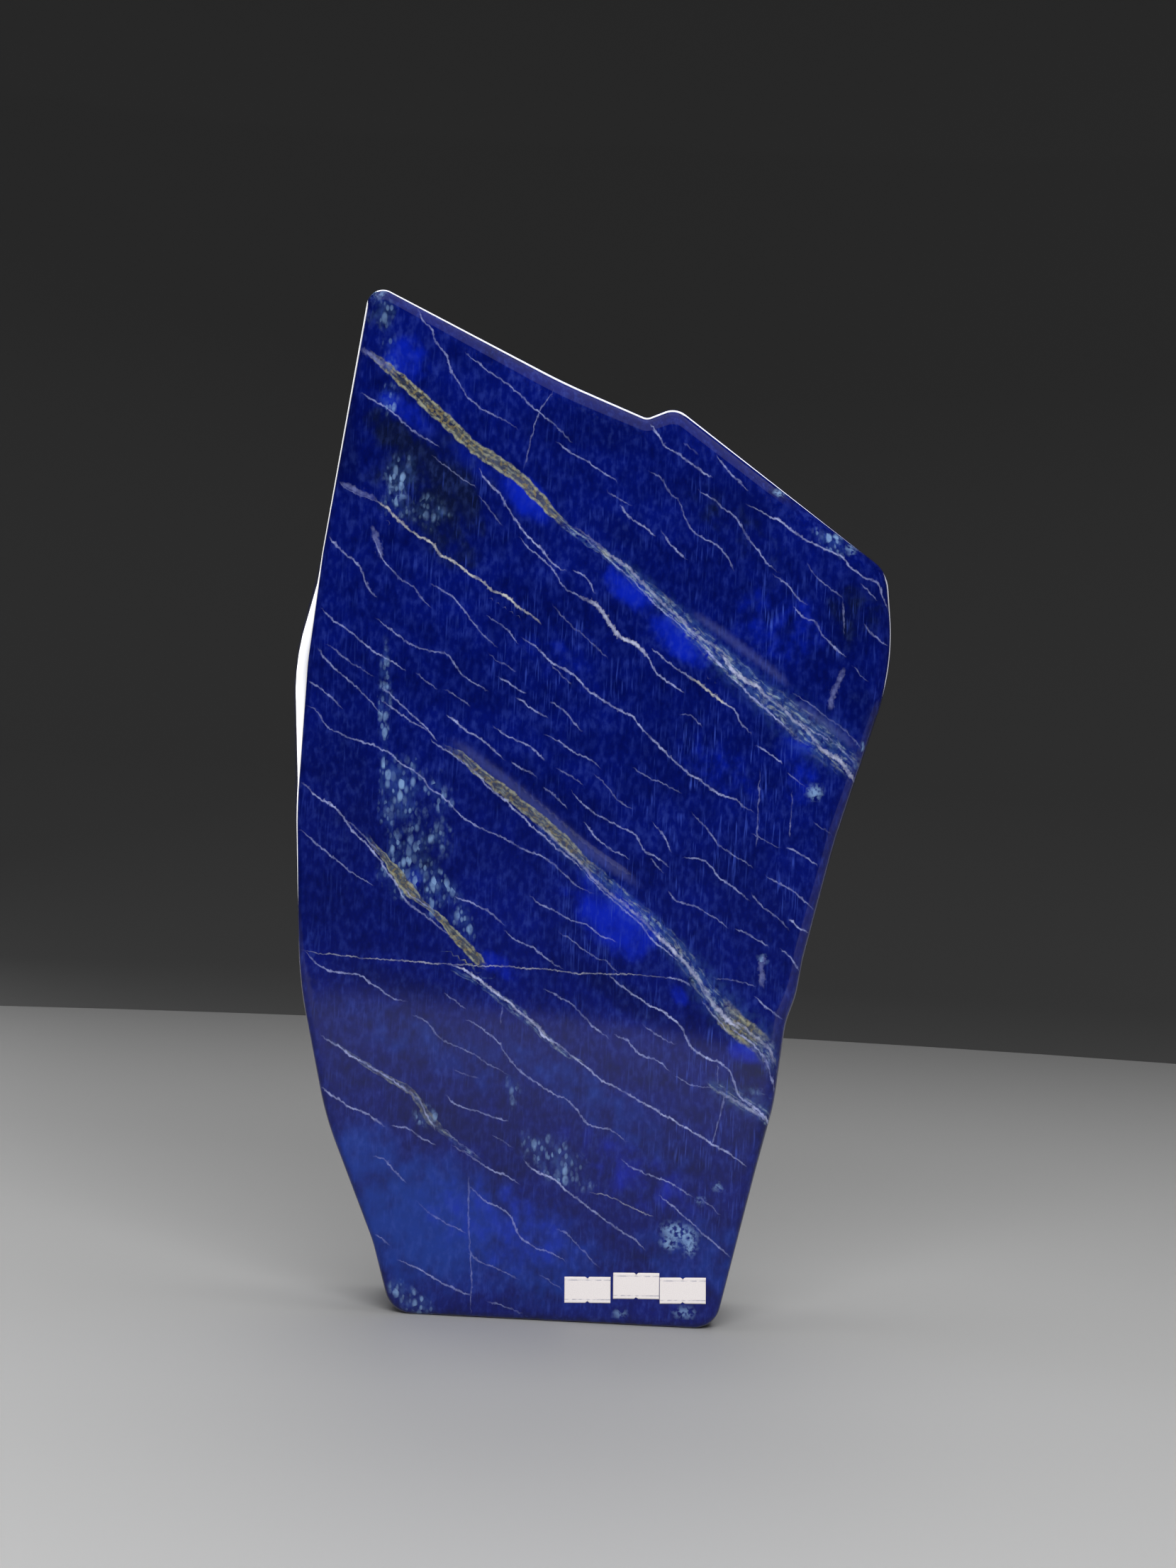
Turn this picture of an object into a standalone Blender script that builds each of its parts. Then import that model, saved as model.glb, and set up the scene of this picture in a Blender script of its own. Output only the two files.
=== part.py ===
"""A polished freeform slab of lapis lazuli that stands on its own sawn base, with three small paper labels.

x runs to the right, y away from the viewer and z up. The sizes here are in millimetres, and MM turns them to
metres where the meshes are made. The slab is drawn with its front rim at y = 0, and the whole object is moved
at the end so that its origin is on the ground, under the middle of its box.
"""

import math
from typing import NamedTuple

import bmesh
import bpy
import numpy as np
from mathutils import Matrix, Vector
from mathutils.geometry import delaunay_2d_cdt

MM = 0.001

# The slab: its thickness at the rims, the front face it is worked from, and how far its faces leave a flat plane
BASE_THICKNESS = 86.0
TIP_THICKNESS = 74.0
HEIGHT = 461.0
HALF_WIDTH = 132.0
FRONT_TWIST = 2.0
FRONT_CROWN = 1.2
BACK_CROWN = 4.0
BACK_RIPPLE = 1.0
RIPPLE_X = 45.0
RIPPLE_Z = 70.0
SHARPEST_TURN = 1.0

# How finely the solid is faceted
OUTLINE_STEP = 14.0
FACE_STEP = 17.0
TURN_STEP = math.radians(24)
FRONT_RIM_STEPS = 3
FLANK_STEPS = 5
BACK_RIM_STEPS = 4

# The labels: paper, cut for a hand-held price gun, with a nick in the middle of both long edges
LABEL_WIDTH = 20.8
LABEL_HEIGHT = 11.8
LABEL_THICKNESS = 0.3
LABEL_GAP = 0.3
NICK_WIDTH = 1.4
NICK_DEPTH = 0.9


class Corner(NamedTuple):
    """A corner of the front outline before it is rounded, and how the flank runs back from it."""

    name: str
    x: float
    z: float
    turn: float  # radius that rounds the corner in the outline
    swell: float  # how far out the flank is at half its depth
    back: float  # how far out it is at the back, less than 0 where it draws in
    front_rim: float  # radius of the edge round the front face
    back_rim: float  # radius of the edge round the back face


class Label(NamedTuple):
    """A label's middle on the front face, and how far it leans to the right."""

    name: str
    x: float
    z: float
    lean: float


# Clockwise from the left end of the base, as the viewer sees it
CORNERS = (
    Corner("base_left", -77.8, 0.0, 13, 0.0, 0.0, 4.0, 6),
    Corner("left_shin", -87.2, 32.0, 60, 0.5, -1.0, 3.0, 10),
    Corner("left_calf", -111.4, 88.0, 150, 1.2, -2.0, 3.0, 13),
    Corner("left_knee", -126.0, 149.0, 200, 2.2, -2.0, 2.5, 13),
    Corner("left_hip", -130.8, 226.0, 260, 3.7, 0.0, 2.5, 13),
    Corner("left_waist", -128.2, 293.0, 110, 10.9, 4.0, 2.5, 13),
    Corner("left_shoulder", -124.8, 342.0, 80, 3.2, 1.0, 3.0, 12),
    Corner("tip", -108.9, 465.5, 7.5, 1.5, -4.0, 6.0, 9),
    Corner("saddle", -20.0, 424.4, 300, 2.0, -5.0, 9.0, 13),
    Corner("notch", 18.8, 409.5, 4, 3.0, -2.0, 8.0, 10),
    Corner("bump", 31.5, 415.7, 10, 1.5, -6.0, 9.0, 11),
    Corner("right_shoulder", 130.4, 345.7, 17, 2.0, -5.0, 7.0, 13),
    Corner("right_elbow", 134.7, 303.0, 120, 2.0, -6.0, 5.0, 13),
    Corner("right_rib", 112.2, 223.5, 200, 2.0, -5.0, 5.0, 13),
    Corner("right_waist", 100.7, 170.0, 50, 1.5, -4.0, 5.0, 12),
    Corner("right_ledge", 98.4, 153.0, 40, 1.0, -4.0, 5.0, 12),
    Corner("right_step", 94.2, 140.0, 40, 1.0, -4.0, 5.0, 12),
    Corner("right_thigh", 90.8, 103.0, 90, 1.0, -3.0, 5.0, 12),
    Corner("right_shin", 84.0, 72.5, 120, 1.0, -2.0, 4.5, 11),
    Corner("base_right", 69.2, 0.0, 12, 0.0, 0.0, 4.0, 6),
)

LABELS = (
    Label("label_left", 10.9, 15.4, -2.4),
    Label("label_middle", 32.8, 18.3, -2.2),
    Label("label_right", 53.9, 17.2, -2.6),
)

LAPIS = (0.004, 0.010, 0.230, 1.0)
PAPER = (0.78, 0.75, 0.72, 1.0)


def thickness(z):
    """Depth from the front rim to the back rim at a height."""
    return BASE_THICKNESS + (TIP_THICKNESS - BASE_THICKNESS) * z / HEIGHT


def dome(x, z):
    """1 at the middle of a face, falling to 0 at its edges."""
    across = np.clip(1 - (x / HALF_WIDTH) ** 2, 0, 1)
    up = np.clip(1 - (2 * z / HEIGHT - 1) ** 2, 0, 1)
    return across * up


def front_relief(x, z):
    """How far back the front face lies from a flat plane: a slight twist, and a crown towards the viewer."""
    return FRONT_TWIST * x / HALF_WIDTH * (2 * z / HEIGHT - 1) - FRONT_CROWN * dome(x, z)


def back_relief(x, z):
    """The same for the back face, which bows out further and has a slow ripple from hand polishing."""
    ripple = np.sin(x / RIPPLE_X + 1) * np.sin(z / RIPPLE_Z)
    return BACK_CROWN * dome(x, z) + BACK_RIPPLE * ripple


def rim_and_depth(part, share, front_rim, back_rim, thick):
    """How far a station's ring is drawn in for the rim, and its depth behind the front face."""
    angle = share * math.pi / 2
    if part == "front":
        return front_rim * (1 - math.sin(angle)), front_rim * (1 - math.cos(angle))
    if part == "flank":
        return 0 * front_rim, front_rim + (thick - back_rim - front_rim) * share
    return back_rim * (1 - math.cos(angle)), thick - back_rim * (1 - math.sin(angle))


def stations():
    """The rings from the front face's edge, over its rim, along the flank and round the back rim."""
    parts = (("front", FRONT_RIM_STEPS), ("flank", FLANK_STEPS), ("back", BACK_RIM_STEPS))
    for part, steps in parts:
        for step in range(steps):
            yield part, step / steps
    yield "back", 1.0


def left_of(direction):
    """The direction turned a quarter left, seen by the viewer."""
    return np.array((-direction[1], direction[0]))


def rounded_corners(places, turns, drawn_in):
    """Arc at each corner, as its start, its centre's side, its angle and its radius, of a closed outline."""
    arcs = []
    for i, place in enumerate(places):
        into = place - places[i - 1]
        out = places[(i + 1) % len(places)] - place
        length_in, length_out = np.linalg.norm(into), np.linalg.norm(out)
        into, out = into / length_in, out / length_out
        angle = math.atan2(into[0] * out[1] - into[1] * out[0], into @ out)
        side = math.copysign(1, angle)
        radius = max(turns[i] + side * drawn_in[i], SHARPEST_TURN)
        reach = radius * math.tan(abs(angle) / 2)
        longest = 0.48 * min(length_in, length_out)
        if reach > longest:
            radius *= longest / reach
            reach = longest
        arcs.append((place - into * reach, side * left_of(into), angle, radius))
    return arcs


def arc_point(arc, share):
    start, side, angle, radius = arc
    turned = share * angle
    c, s = math.cos(turned), math.sin(turned)
    spoke = -radius * np.array((c * side[0] - s * side[1], s * side[0] + c * side[1]))
    return start + radius * side + spoke


def corner_places(part, share):
    """Where each corner lies in a station's ring, and how far the rim draws it in."""
    front = np.array([(corner.x, corner.z) for corner in CORNERS])
    places, drawn_in = [], []
    for i, corner in enumerate(CORNERS):
        into = front[i] - front[i - 1]
        out = front[(i + 1) % len(front)] - front[i]
        into, out = into / np.linalg.norm(into), out / np.linalg.norm(out)
        outward = left_of(into) + left_of(out)
        outward = outward / np.linalg.norm(outward)
        slant = outward @ left_of(into)
        thick = thickness(corner.z)
        rim, depth = rim_and_depth(part, share, corner.front_rim, corner.back_rim, thick)
        v = depth / thick
        swell = corner.swell * 4 * v * (1 - v) + corner.back * v * (2 * v - 1)
        places.append(front[i] + outward * (swell - rim) / slant)
        drawn_in.append(rim)
    return places, drawn_in


def step_counts():
    """How many steps each corner's arc and each run after it get, from the outline's widest ring."""
    places, drawn_in = corner_places("flank", 0.0)
    arcs = rounded_corners(places, [corner.turn for corner in CORNERS], drawn_in)
    counts = []
    for i, arc in enumerate(arcs):
        run = np.linalg.norm(arcs[(i + 1) % len(arcs)][0] - arc_point(arc, 1.0))
        length = abs(arc[2]) * arc[3]
        arc_steps = max(1, round(length / OUTLINE_STEP), math.ceil(abs(arc[2]) / TURN_STEP))
        counts.append((arc_steps, max(1, round(run / OUTLINE_STEP))))
    return counts


def ring(part, share, counts):
    """A station's ring as an array of x, y and z."""
    places, drawn_in = corner_places(part, share)
    arcs = rounded_corners(places, [corner.turn for corner in CORNERS], drawn_in)
    flat, rims = [], []
    for i, (arc_steps, run_steps) in enumerate(counts):
        here, after = CORNERS[i], CORNERS[(i + 1) % len(CORNERS)]
        for step in range(arc_steps):
            flat.append(arc_point(arcs[i], step / arc_steps))
            rims.append((here.front_rim, here.back_rim))
        start, end = arc_point(arcs[i], 1.0), arcs[(i + 1) % len(arcs)][0]
        for step in range(run_steps):
            t = step / run_steps
            flat.append(start + (end - start) * t)
            rims.append(
                (
                    here.front_rim + (after.front_rim - here.front_rim) * t,
                    here.back_rim + (after.back_rim - here.back_rim) * t,
                )
            )
    flat, rims = np.array(flat), np.array(rims)
    x, z = flat[:, 0], flat[:, 1]
    thick = thickness(z)
    depth = rim_and_depth(part, share, rims[:, 0], rims[:, 1], thick)[1]
    v = depth / thick
    y = depth + front_relief(x, z) * (1 - v) + back_relief(x, z) * v
    return np.column_stack((x, y, z))


def distance_inside(points, outline):
    """Distance of each point from a closed outline, less than 0 outside it."""
    ends = np.roll(outline, -1, axis=0)
    nearest = np.full(len(points), np.inf)
    inside = np.zeros(len(points), bool)
    for start, end in zip(outline, ends):
        along = end - start
        share = np.clip((points - start) @ along / (along @ along), 0, 1)
        gap = points - (start + share[:, None] * along)
        nearest = np.minimum(nearest, np.hypot(gap[:, 0], gap[:, 1]))
        crosses = (start[1] > points[:, 1]) != (end[1] > points[:, 1])
        if start[1] != end[1]:
            at = start[0] + (points[:, 1] - start[1]) / (end[1] - start[1]) * along[0]
            inside ^= crosses & (points[:, 0] < at)
    return np.where(inside, nearest, -nearest)


def face_points(outline):
    """Evenly spread points inside a face's edge, in rows that are offset by half a step."""
    low, high = outline.min(0), outline.max(0)
    row_step = FACE_STEP * math.sqrt(3) / 2
    rows = []
    for row, z in enumerate(np.arange(low[1], high[1], row_step)):
        x = np.arange(low[0] + (row % 2) * FACE_STEP / 2, high[0], FACE_STEP)
        rows.append(np.column_stack((x, np.full(len(x), z))))
    points = np.concatenate(rows)
    return points[distance_inside(points, outline) > 0.6 * FACE_STEP]


def close_face(bm, edge, points, height_at):
    """Fills the ring of vertices with triangles through the given points inside it."""
    outline = [Vector((v.co.x / MM, v.co.z / MM)) for v in edge]
    inner = [Vector(point) for point in points]
    y = height_at(points[:, 0], points[:, 1])
    vertices = list(edge)
    for (x, z), depth in zip(points, y):
        vertices.append(bm.verts.new(Vector((x, depth, z)) * MM))
    found = delaunay_2d_cdt(outline + inner, [], [list(range(len(edge)))], 1, 1e-4)
    faces, origins = found[2], found[3]
    for face in faces:
        bm.faces.new([vertices[origins[i][0]] for i in face])


def slab_mesh():
    counts = step_counts()
    bm = bmesh.new()
    rings = []
    for part, share in stations():
        rings.append([bm.verts.new(Vector(point) * MM) for point in ring(part, share, counts)])
    for near, far in zip(rings, rings[1:]):
        for i in range(len(near)):
            j = (i + 1) % len(near)
            bm.faces.new((near[i], near[j], far[j], far[i]))
    front_edge = np.array([(v.co.x, v.co.z) for v in rings[0]]) / MM
    back_edge = np.array([(v.co.x, v.co.z) for v in rings[-1]]) / MM
    close_face(bm, rings[0], face_points(front_edge), front_relief)
    close_face(bm, rings[-1], face_points(back_edge), lambda x, z: thickness(z) + back_relief(x, z))
    bmesh.ops.recalc_face_normals(bm, faces=bm.faces)
    mesh = bpy.data.meshes.new("stone")
    bm.to_mesh(mesh)
    bm.free()
    return mesh


def label_mesh():
    """A paper label round its own middle, with the nicks that keep it from being lifted whole."""
    half_width, half_height, half_nick = LABEL_WIDTH / 2, LABEL_HEIGHT / 2, NICK_WIDTH / 2
    lower = (
        (-half_width, -half_height),
        (-half_nick, -half_height),
        (0.0, -half_height + NICK_DEPTH),
        (half_nick, -half_height),
        (half_width, -half_height),
    )
    outline = lower + tuple((-x, -z) for x, z in lower)
    bm = bmesh.new()
    face = bm.faces.new([bm.verts.new(Vector((x, 0, z)) * MM) for x, z in outline])
    grown = bmesh.ops.extrude_face_region(bm, geom=[face])
    moved = [item for item in grown["geom"] if isinstance(item, bmesh.types.BMVert)]
    bmesh.ops.translate(bm, verts=moved, vec=(0, -LABEL_THICKNESS * MM, 0))
    bmesh.ops.recalc_face_normals(bm, faces=bm.faces)
    mesh = bpy.data.meshes.new("label")
    bm.to_mesh(mesh)
    bm.free()
    return mesh


def on_front_face(label):
    """Where a label lies: its middle a little in front of the face, turned to follow the face's slope."""
    reach = 1.0
    slope_x = front_relief(label.x + reach, label.z) - front_relief(label.x - reach, label.z)
    slope_z = front_relief(label.x, label.z + reach) - front_relief(label.x, label.z - reach)
    across = Vector((2 * reach, slope_x, 0)).normalized()
    inward = across.cross(Vector((0, slope_z, 2 * reach))).normalized() * -1
    up = across.cross(inward)
    turn = Matrix((across, inward, up)).transposed() @ Matrix.Rotation(math.radians(-label.lean), 3, "Y")
    middle = Vector((label.x, front_relief(label.x, label.z), label.z)) - inward * LABEL_GAP
    return Matrix.Translation(middle * MM) @ turn.to_4x4()


def material(name, color, roughness):
    made = bpy.data.materials.new(name)
    made.use_nodes = True
    shader = made.node_tree.nodes["Principled BSDF"]
    shader.inputs["Base Color"].default_value = color
    shader.inputs["Roughness"].default_value = roughness
    shader.inputs["Metallic"].default_value = 0.0
    made.diffuse_color = color
    return made


def add_object(name, mesh, finish, parent):
    mesh.materials.append(finish)
    made = bpy.data.objects.new(name, mesh)
    made.parent = parent
    bpy.context.scene.collection.objects.link(made)
    return made


def main():
    for old in list(bpy.data.objects):
        bpy.data.objects.remove(old)

    ground = bpy.data.objects.new("ground_point", None)
    bpy.context.scene.collection.objects.link(ground)

    stone = add_object("stone", slab_mesh(), material("polished_lapis", LAPIS, 0.12), ground)
    stone.data.shade_smooth()
    paper = material("label_paper", PAPER, 0.7)
    for label in LABELS:
        made = add_object(label.name, label_mesh(), paper, ground)
        made.matrix_local = on_front_face(label)

    bpy.context.view_layer.update()
    corners = [
        made.matrix_world @ vertex.co
        for made in ground.children
        for vertex in made.data.vertices
    ]
    low = [min(corner[axis] for corner in corners) for axis in range(2)]
    high = [max(corner[axis] for corner in corners) for axis in range(2)]
    ground.location = (-(low[0] + high[0]) / 2, -(low[1] + high[1]) / 2, 0)


main()
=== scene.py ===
"""The finish of a polished lapis lazuli freeform and its paper labels, and a plain studio round them.

The stone is drawn again here at a fine step, from the same driving sizes as the solid that it stands for, so
that its polish runs smoothly over the rims and each vertex can carry how far it is from the veins.

Drawing sizes are in millimetres: x runs to the right, y away from the viewer and z up, with the front rim at
y = 0. MM turns them to metres, and the labels' solids say where the drawing lies in the frame.
"""

import math
from typing import NamedTuple

import bmesh
import bpy
import numpy as np
from bpy.props import FloatProperty, FloatVectorProperty, PointerProperty
from bpy.types import Operator, Panel, PropertyGroup
from mathutils import Matrix, Vector
from mathutils.geometry import delaunay_2d_cdt


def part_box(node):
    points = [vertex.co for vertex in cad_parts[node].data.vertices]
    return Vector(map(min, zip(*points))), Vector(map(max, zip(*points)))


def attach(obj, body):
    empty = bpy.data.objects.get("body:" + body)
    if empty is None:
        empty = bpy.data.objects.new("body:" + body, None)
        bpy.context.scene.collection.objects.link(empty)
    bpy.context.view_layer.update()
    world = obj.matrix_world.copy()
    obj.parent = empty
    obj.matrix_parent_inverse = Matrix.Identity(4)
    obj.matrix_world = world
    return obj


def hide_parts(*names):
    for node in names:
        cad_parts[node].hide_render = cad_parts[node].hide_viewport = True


bl_info = {
    "name": "Polished Lapis Lazuli Freeform",
    "version": (1, 0, 0),
    "blender": (4, 5, 0),
    "location": "3D View > Sidebar > Lapis",
    "description": "Finishes a standing slab of polished lapis lazuli, its paper labels and a studio for it",
    "category": "Object",
}

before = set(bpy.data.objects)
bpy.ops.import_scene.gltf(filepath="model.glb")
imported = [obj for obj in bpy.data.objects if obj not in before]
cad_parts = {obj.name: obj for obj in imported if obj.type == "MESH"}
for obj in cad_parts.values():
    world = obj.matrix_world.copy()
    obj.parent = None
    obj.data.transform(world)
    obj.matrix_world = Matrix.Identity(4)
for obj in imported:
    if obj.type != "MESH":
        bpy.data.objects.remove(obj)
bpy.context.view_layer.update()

MM = 0.001

# The slab, as in its solid
HEIGHT = 461.0
HALF_WIDTH = 132.0
FRONT_TWIST = 2.0
FRONT_CROWN = 1.2
BACK_CROWN = 4.0
BACK_RIPPLE = 1.0
RIPPLE_X = 45.0
RIPPLE_Z = 70.0
SHARPEST_TURN = 1.0

# How finely it is drawn here
OUTLINE_STEP = 2.1
FACE_STEP = 2.1
TURN_STEP = math.radians(9)
FRONT_RIM_STEPS = 6
FLANK_STEPS = 33
BACK_RIM_STEPS = 7

# Hand polishing leaves slow waves, and hollows along the softer bands
POLISH_WAVE = 0.035
POLISH_WAVE_LENGTH = 75.0
HOLLOW_DEPTH = 0.3

# The veins are sheets that run back through the slab: they spread, lean and bend on their way to the back face
SHEET_SPREAD = 0.12
SHEET_LEAN_X = 12.0
SHEET_LEAN_Z = 16.0
SHEET_BEND = 13.0
SHEET_BEND_LENGTH = 150.0

# Places on the front face were read from the line where it meets the ground, seen from the camera's height
READING_RISE = 2.3
VEIN_STEP = 2.5
VEIN_SURE = 2.4
VEIN_REACH = 4.2
BAND_SURE = 6.0
BAND_REACH = 10.0
BEYOND_REACH = 3.0

LABEL_GAP = 0.3
LABEL_SOLID_THICKNESS = 0.3


class Corner(NamedTuple):
    """A corner of the front outline before it is rounded, and how the flank runs back from it."""

    name: str
    x: float
    z: float
    turn: float  # radius that rounds the corner in the outline
    swell: float  # how far out the flank is at half its depth
    back: float  # how far out it is at the back, less than 0 where it draws in
    front_rim: float  # radius of the edge round the front face
    back_rim: float  # radius of the edge round the back face


class Label(NamedTuple):
    """A label's middle on the front face, and how far it leans to the right."""

    name: str
    x: float
    z: float
    lean: float


class Look(NamedTuple):
    """How wide a vein is in mm, how strongly it shows, and how yellow it is."""

    width: float
    strength: float
    warmth: float


class Band(NamedTuple):
    """A wide vein: its strength, and its middle line as x, z, half width and how much gold it holds."""

    strength: float
    line: tuple


class Cloud(NamedTuple):
    """A soft patch on the front face: its middle, half its width and height, its lean in degrees, its amount."""

    x: float
    z: float
    half_width: float
    half_height: float
    lean: float
    amount: float


# Clockwise from the left end of the base, as the viewer sees it
CORNERS = (
    Corner("base_left", -77.8, 0.0, 13, 0.0, 0.0, 4.0, 6),
    Corner("left_shin", -87.2, 32.0, 60, 0.5, -1.0, 3.0, 10),
    Corner("left_calf", -111.4, 88.0, 150, 1.2, -2.0, 3.0, 13),
    Corner("left_knee", -126.0, 149.0, 200, 2.2, -2.0, 2.5, 13),
    Corner("left_hip", -130.8, 226.0, 260, 3.7, 0.0, 2.5, 13),
    Corner("left_waist", -128.2, 293.0, 110, 10.9, 4.0, 2.5, 13),
    Corner("left_shoulder", -124.8, 342.0, 80, 3.2, 1.0, 3.0, 12),
    Corner("tip", -108.9, 465.5, 7.5, 1.5, -4.0, 6.0, 9),
    Corner("saddle", -20.0, 424.4, 300, 2.0, -5.0, 9.0, 13),
    Corner("notch", 18.8, 409.5, 4, 3.0, -2.0, 8.0, 10),
    Corner("bump", 31.5, 415.7, 10, 1.5, -6.0, 9.0, 11),
    Corner("right_shoulder", 130.4, 345.7, 17, 2.0, -5.0, 7.0, 13),
    Corner("right_elbow", 134.7, 303.0, 120, 2.0, -6.0, 5.0, 13),
    Corner("right_rib", 112.2, 223.5, 200, 2.0, -5.0, 5.0, 13),
    Corner("right_waist", 100.7, 170.0, 50, 1.5, -4.0, 5.0, 12),
    Corner("right_ledge", 98.4, 153.0, 40, 1.0, -4.0, 5.0, 12),
    Corner("right_step", 94.2, 140.0, 40, 1.0, -4.0, 5.0, 12),
    Corner("right_thigh", 90.8, 103.0, 90, 1.0, -3.0, 5.0, 12),
    Corner("right_shin", 84.0, 72.5, 120, 1.0, -2.0, 4.5, 11),
    Corner("base_right", 69.2, 0.0, 12, 0.0, 0.0, 4.0, 6),
)

LABELS = (
    Label("label_left", 10.9, 15.4, -2.4),
    Label("label_middle", 32.8, 18.3, -2.2),
    Label("label_right", 53.9, 17.2, -2.6),
)

FAINT = Look(0.75, 0.34, 0.0)
VIOLET = Look(0.85, 0.24, 0.0)
PLAIN = Look(0.90, 0.62, 0.0)
BRIGHT = Look(1.05, 0.90, 0.05)
WHITE = Look(1.30, 1.10, 0.1)
THICK = Look(2.00, 1.10, 0.3)
YELLOW = Look(1.30, 1.00, 0.6)
PALE = Look(1.60, 0.60, 0.3)
SMEAR = Look(2.80, 0.34, 0.0)
CRACK = Look(0.75, 0.60, 0.4)

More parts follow.
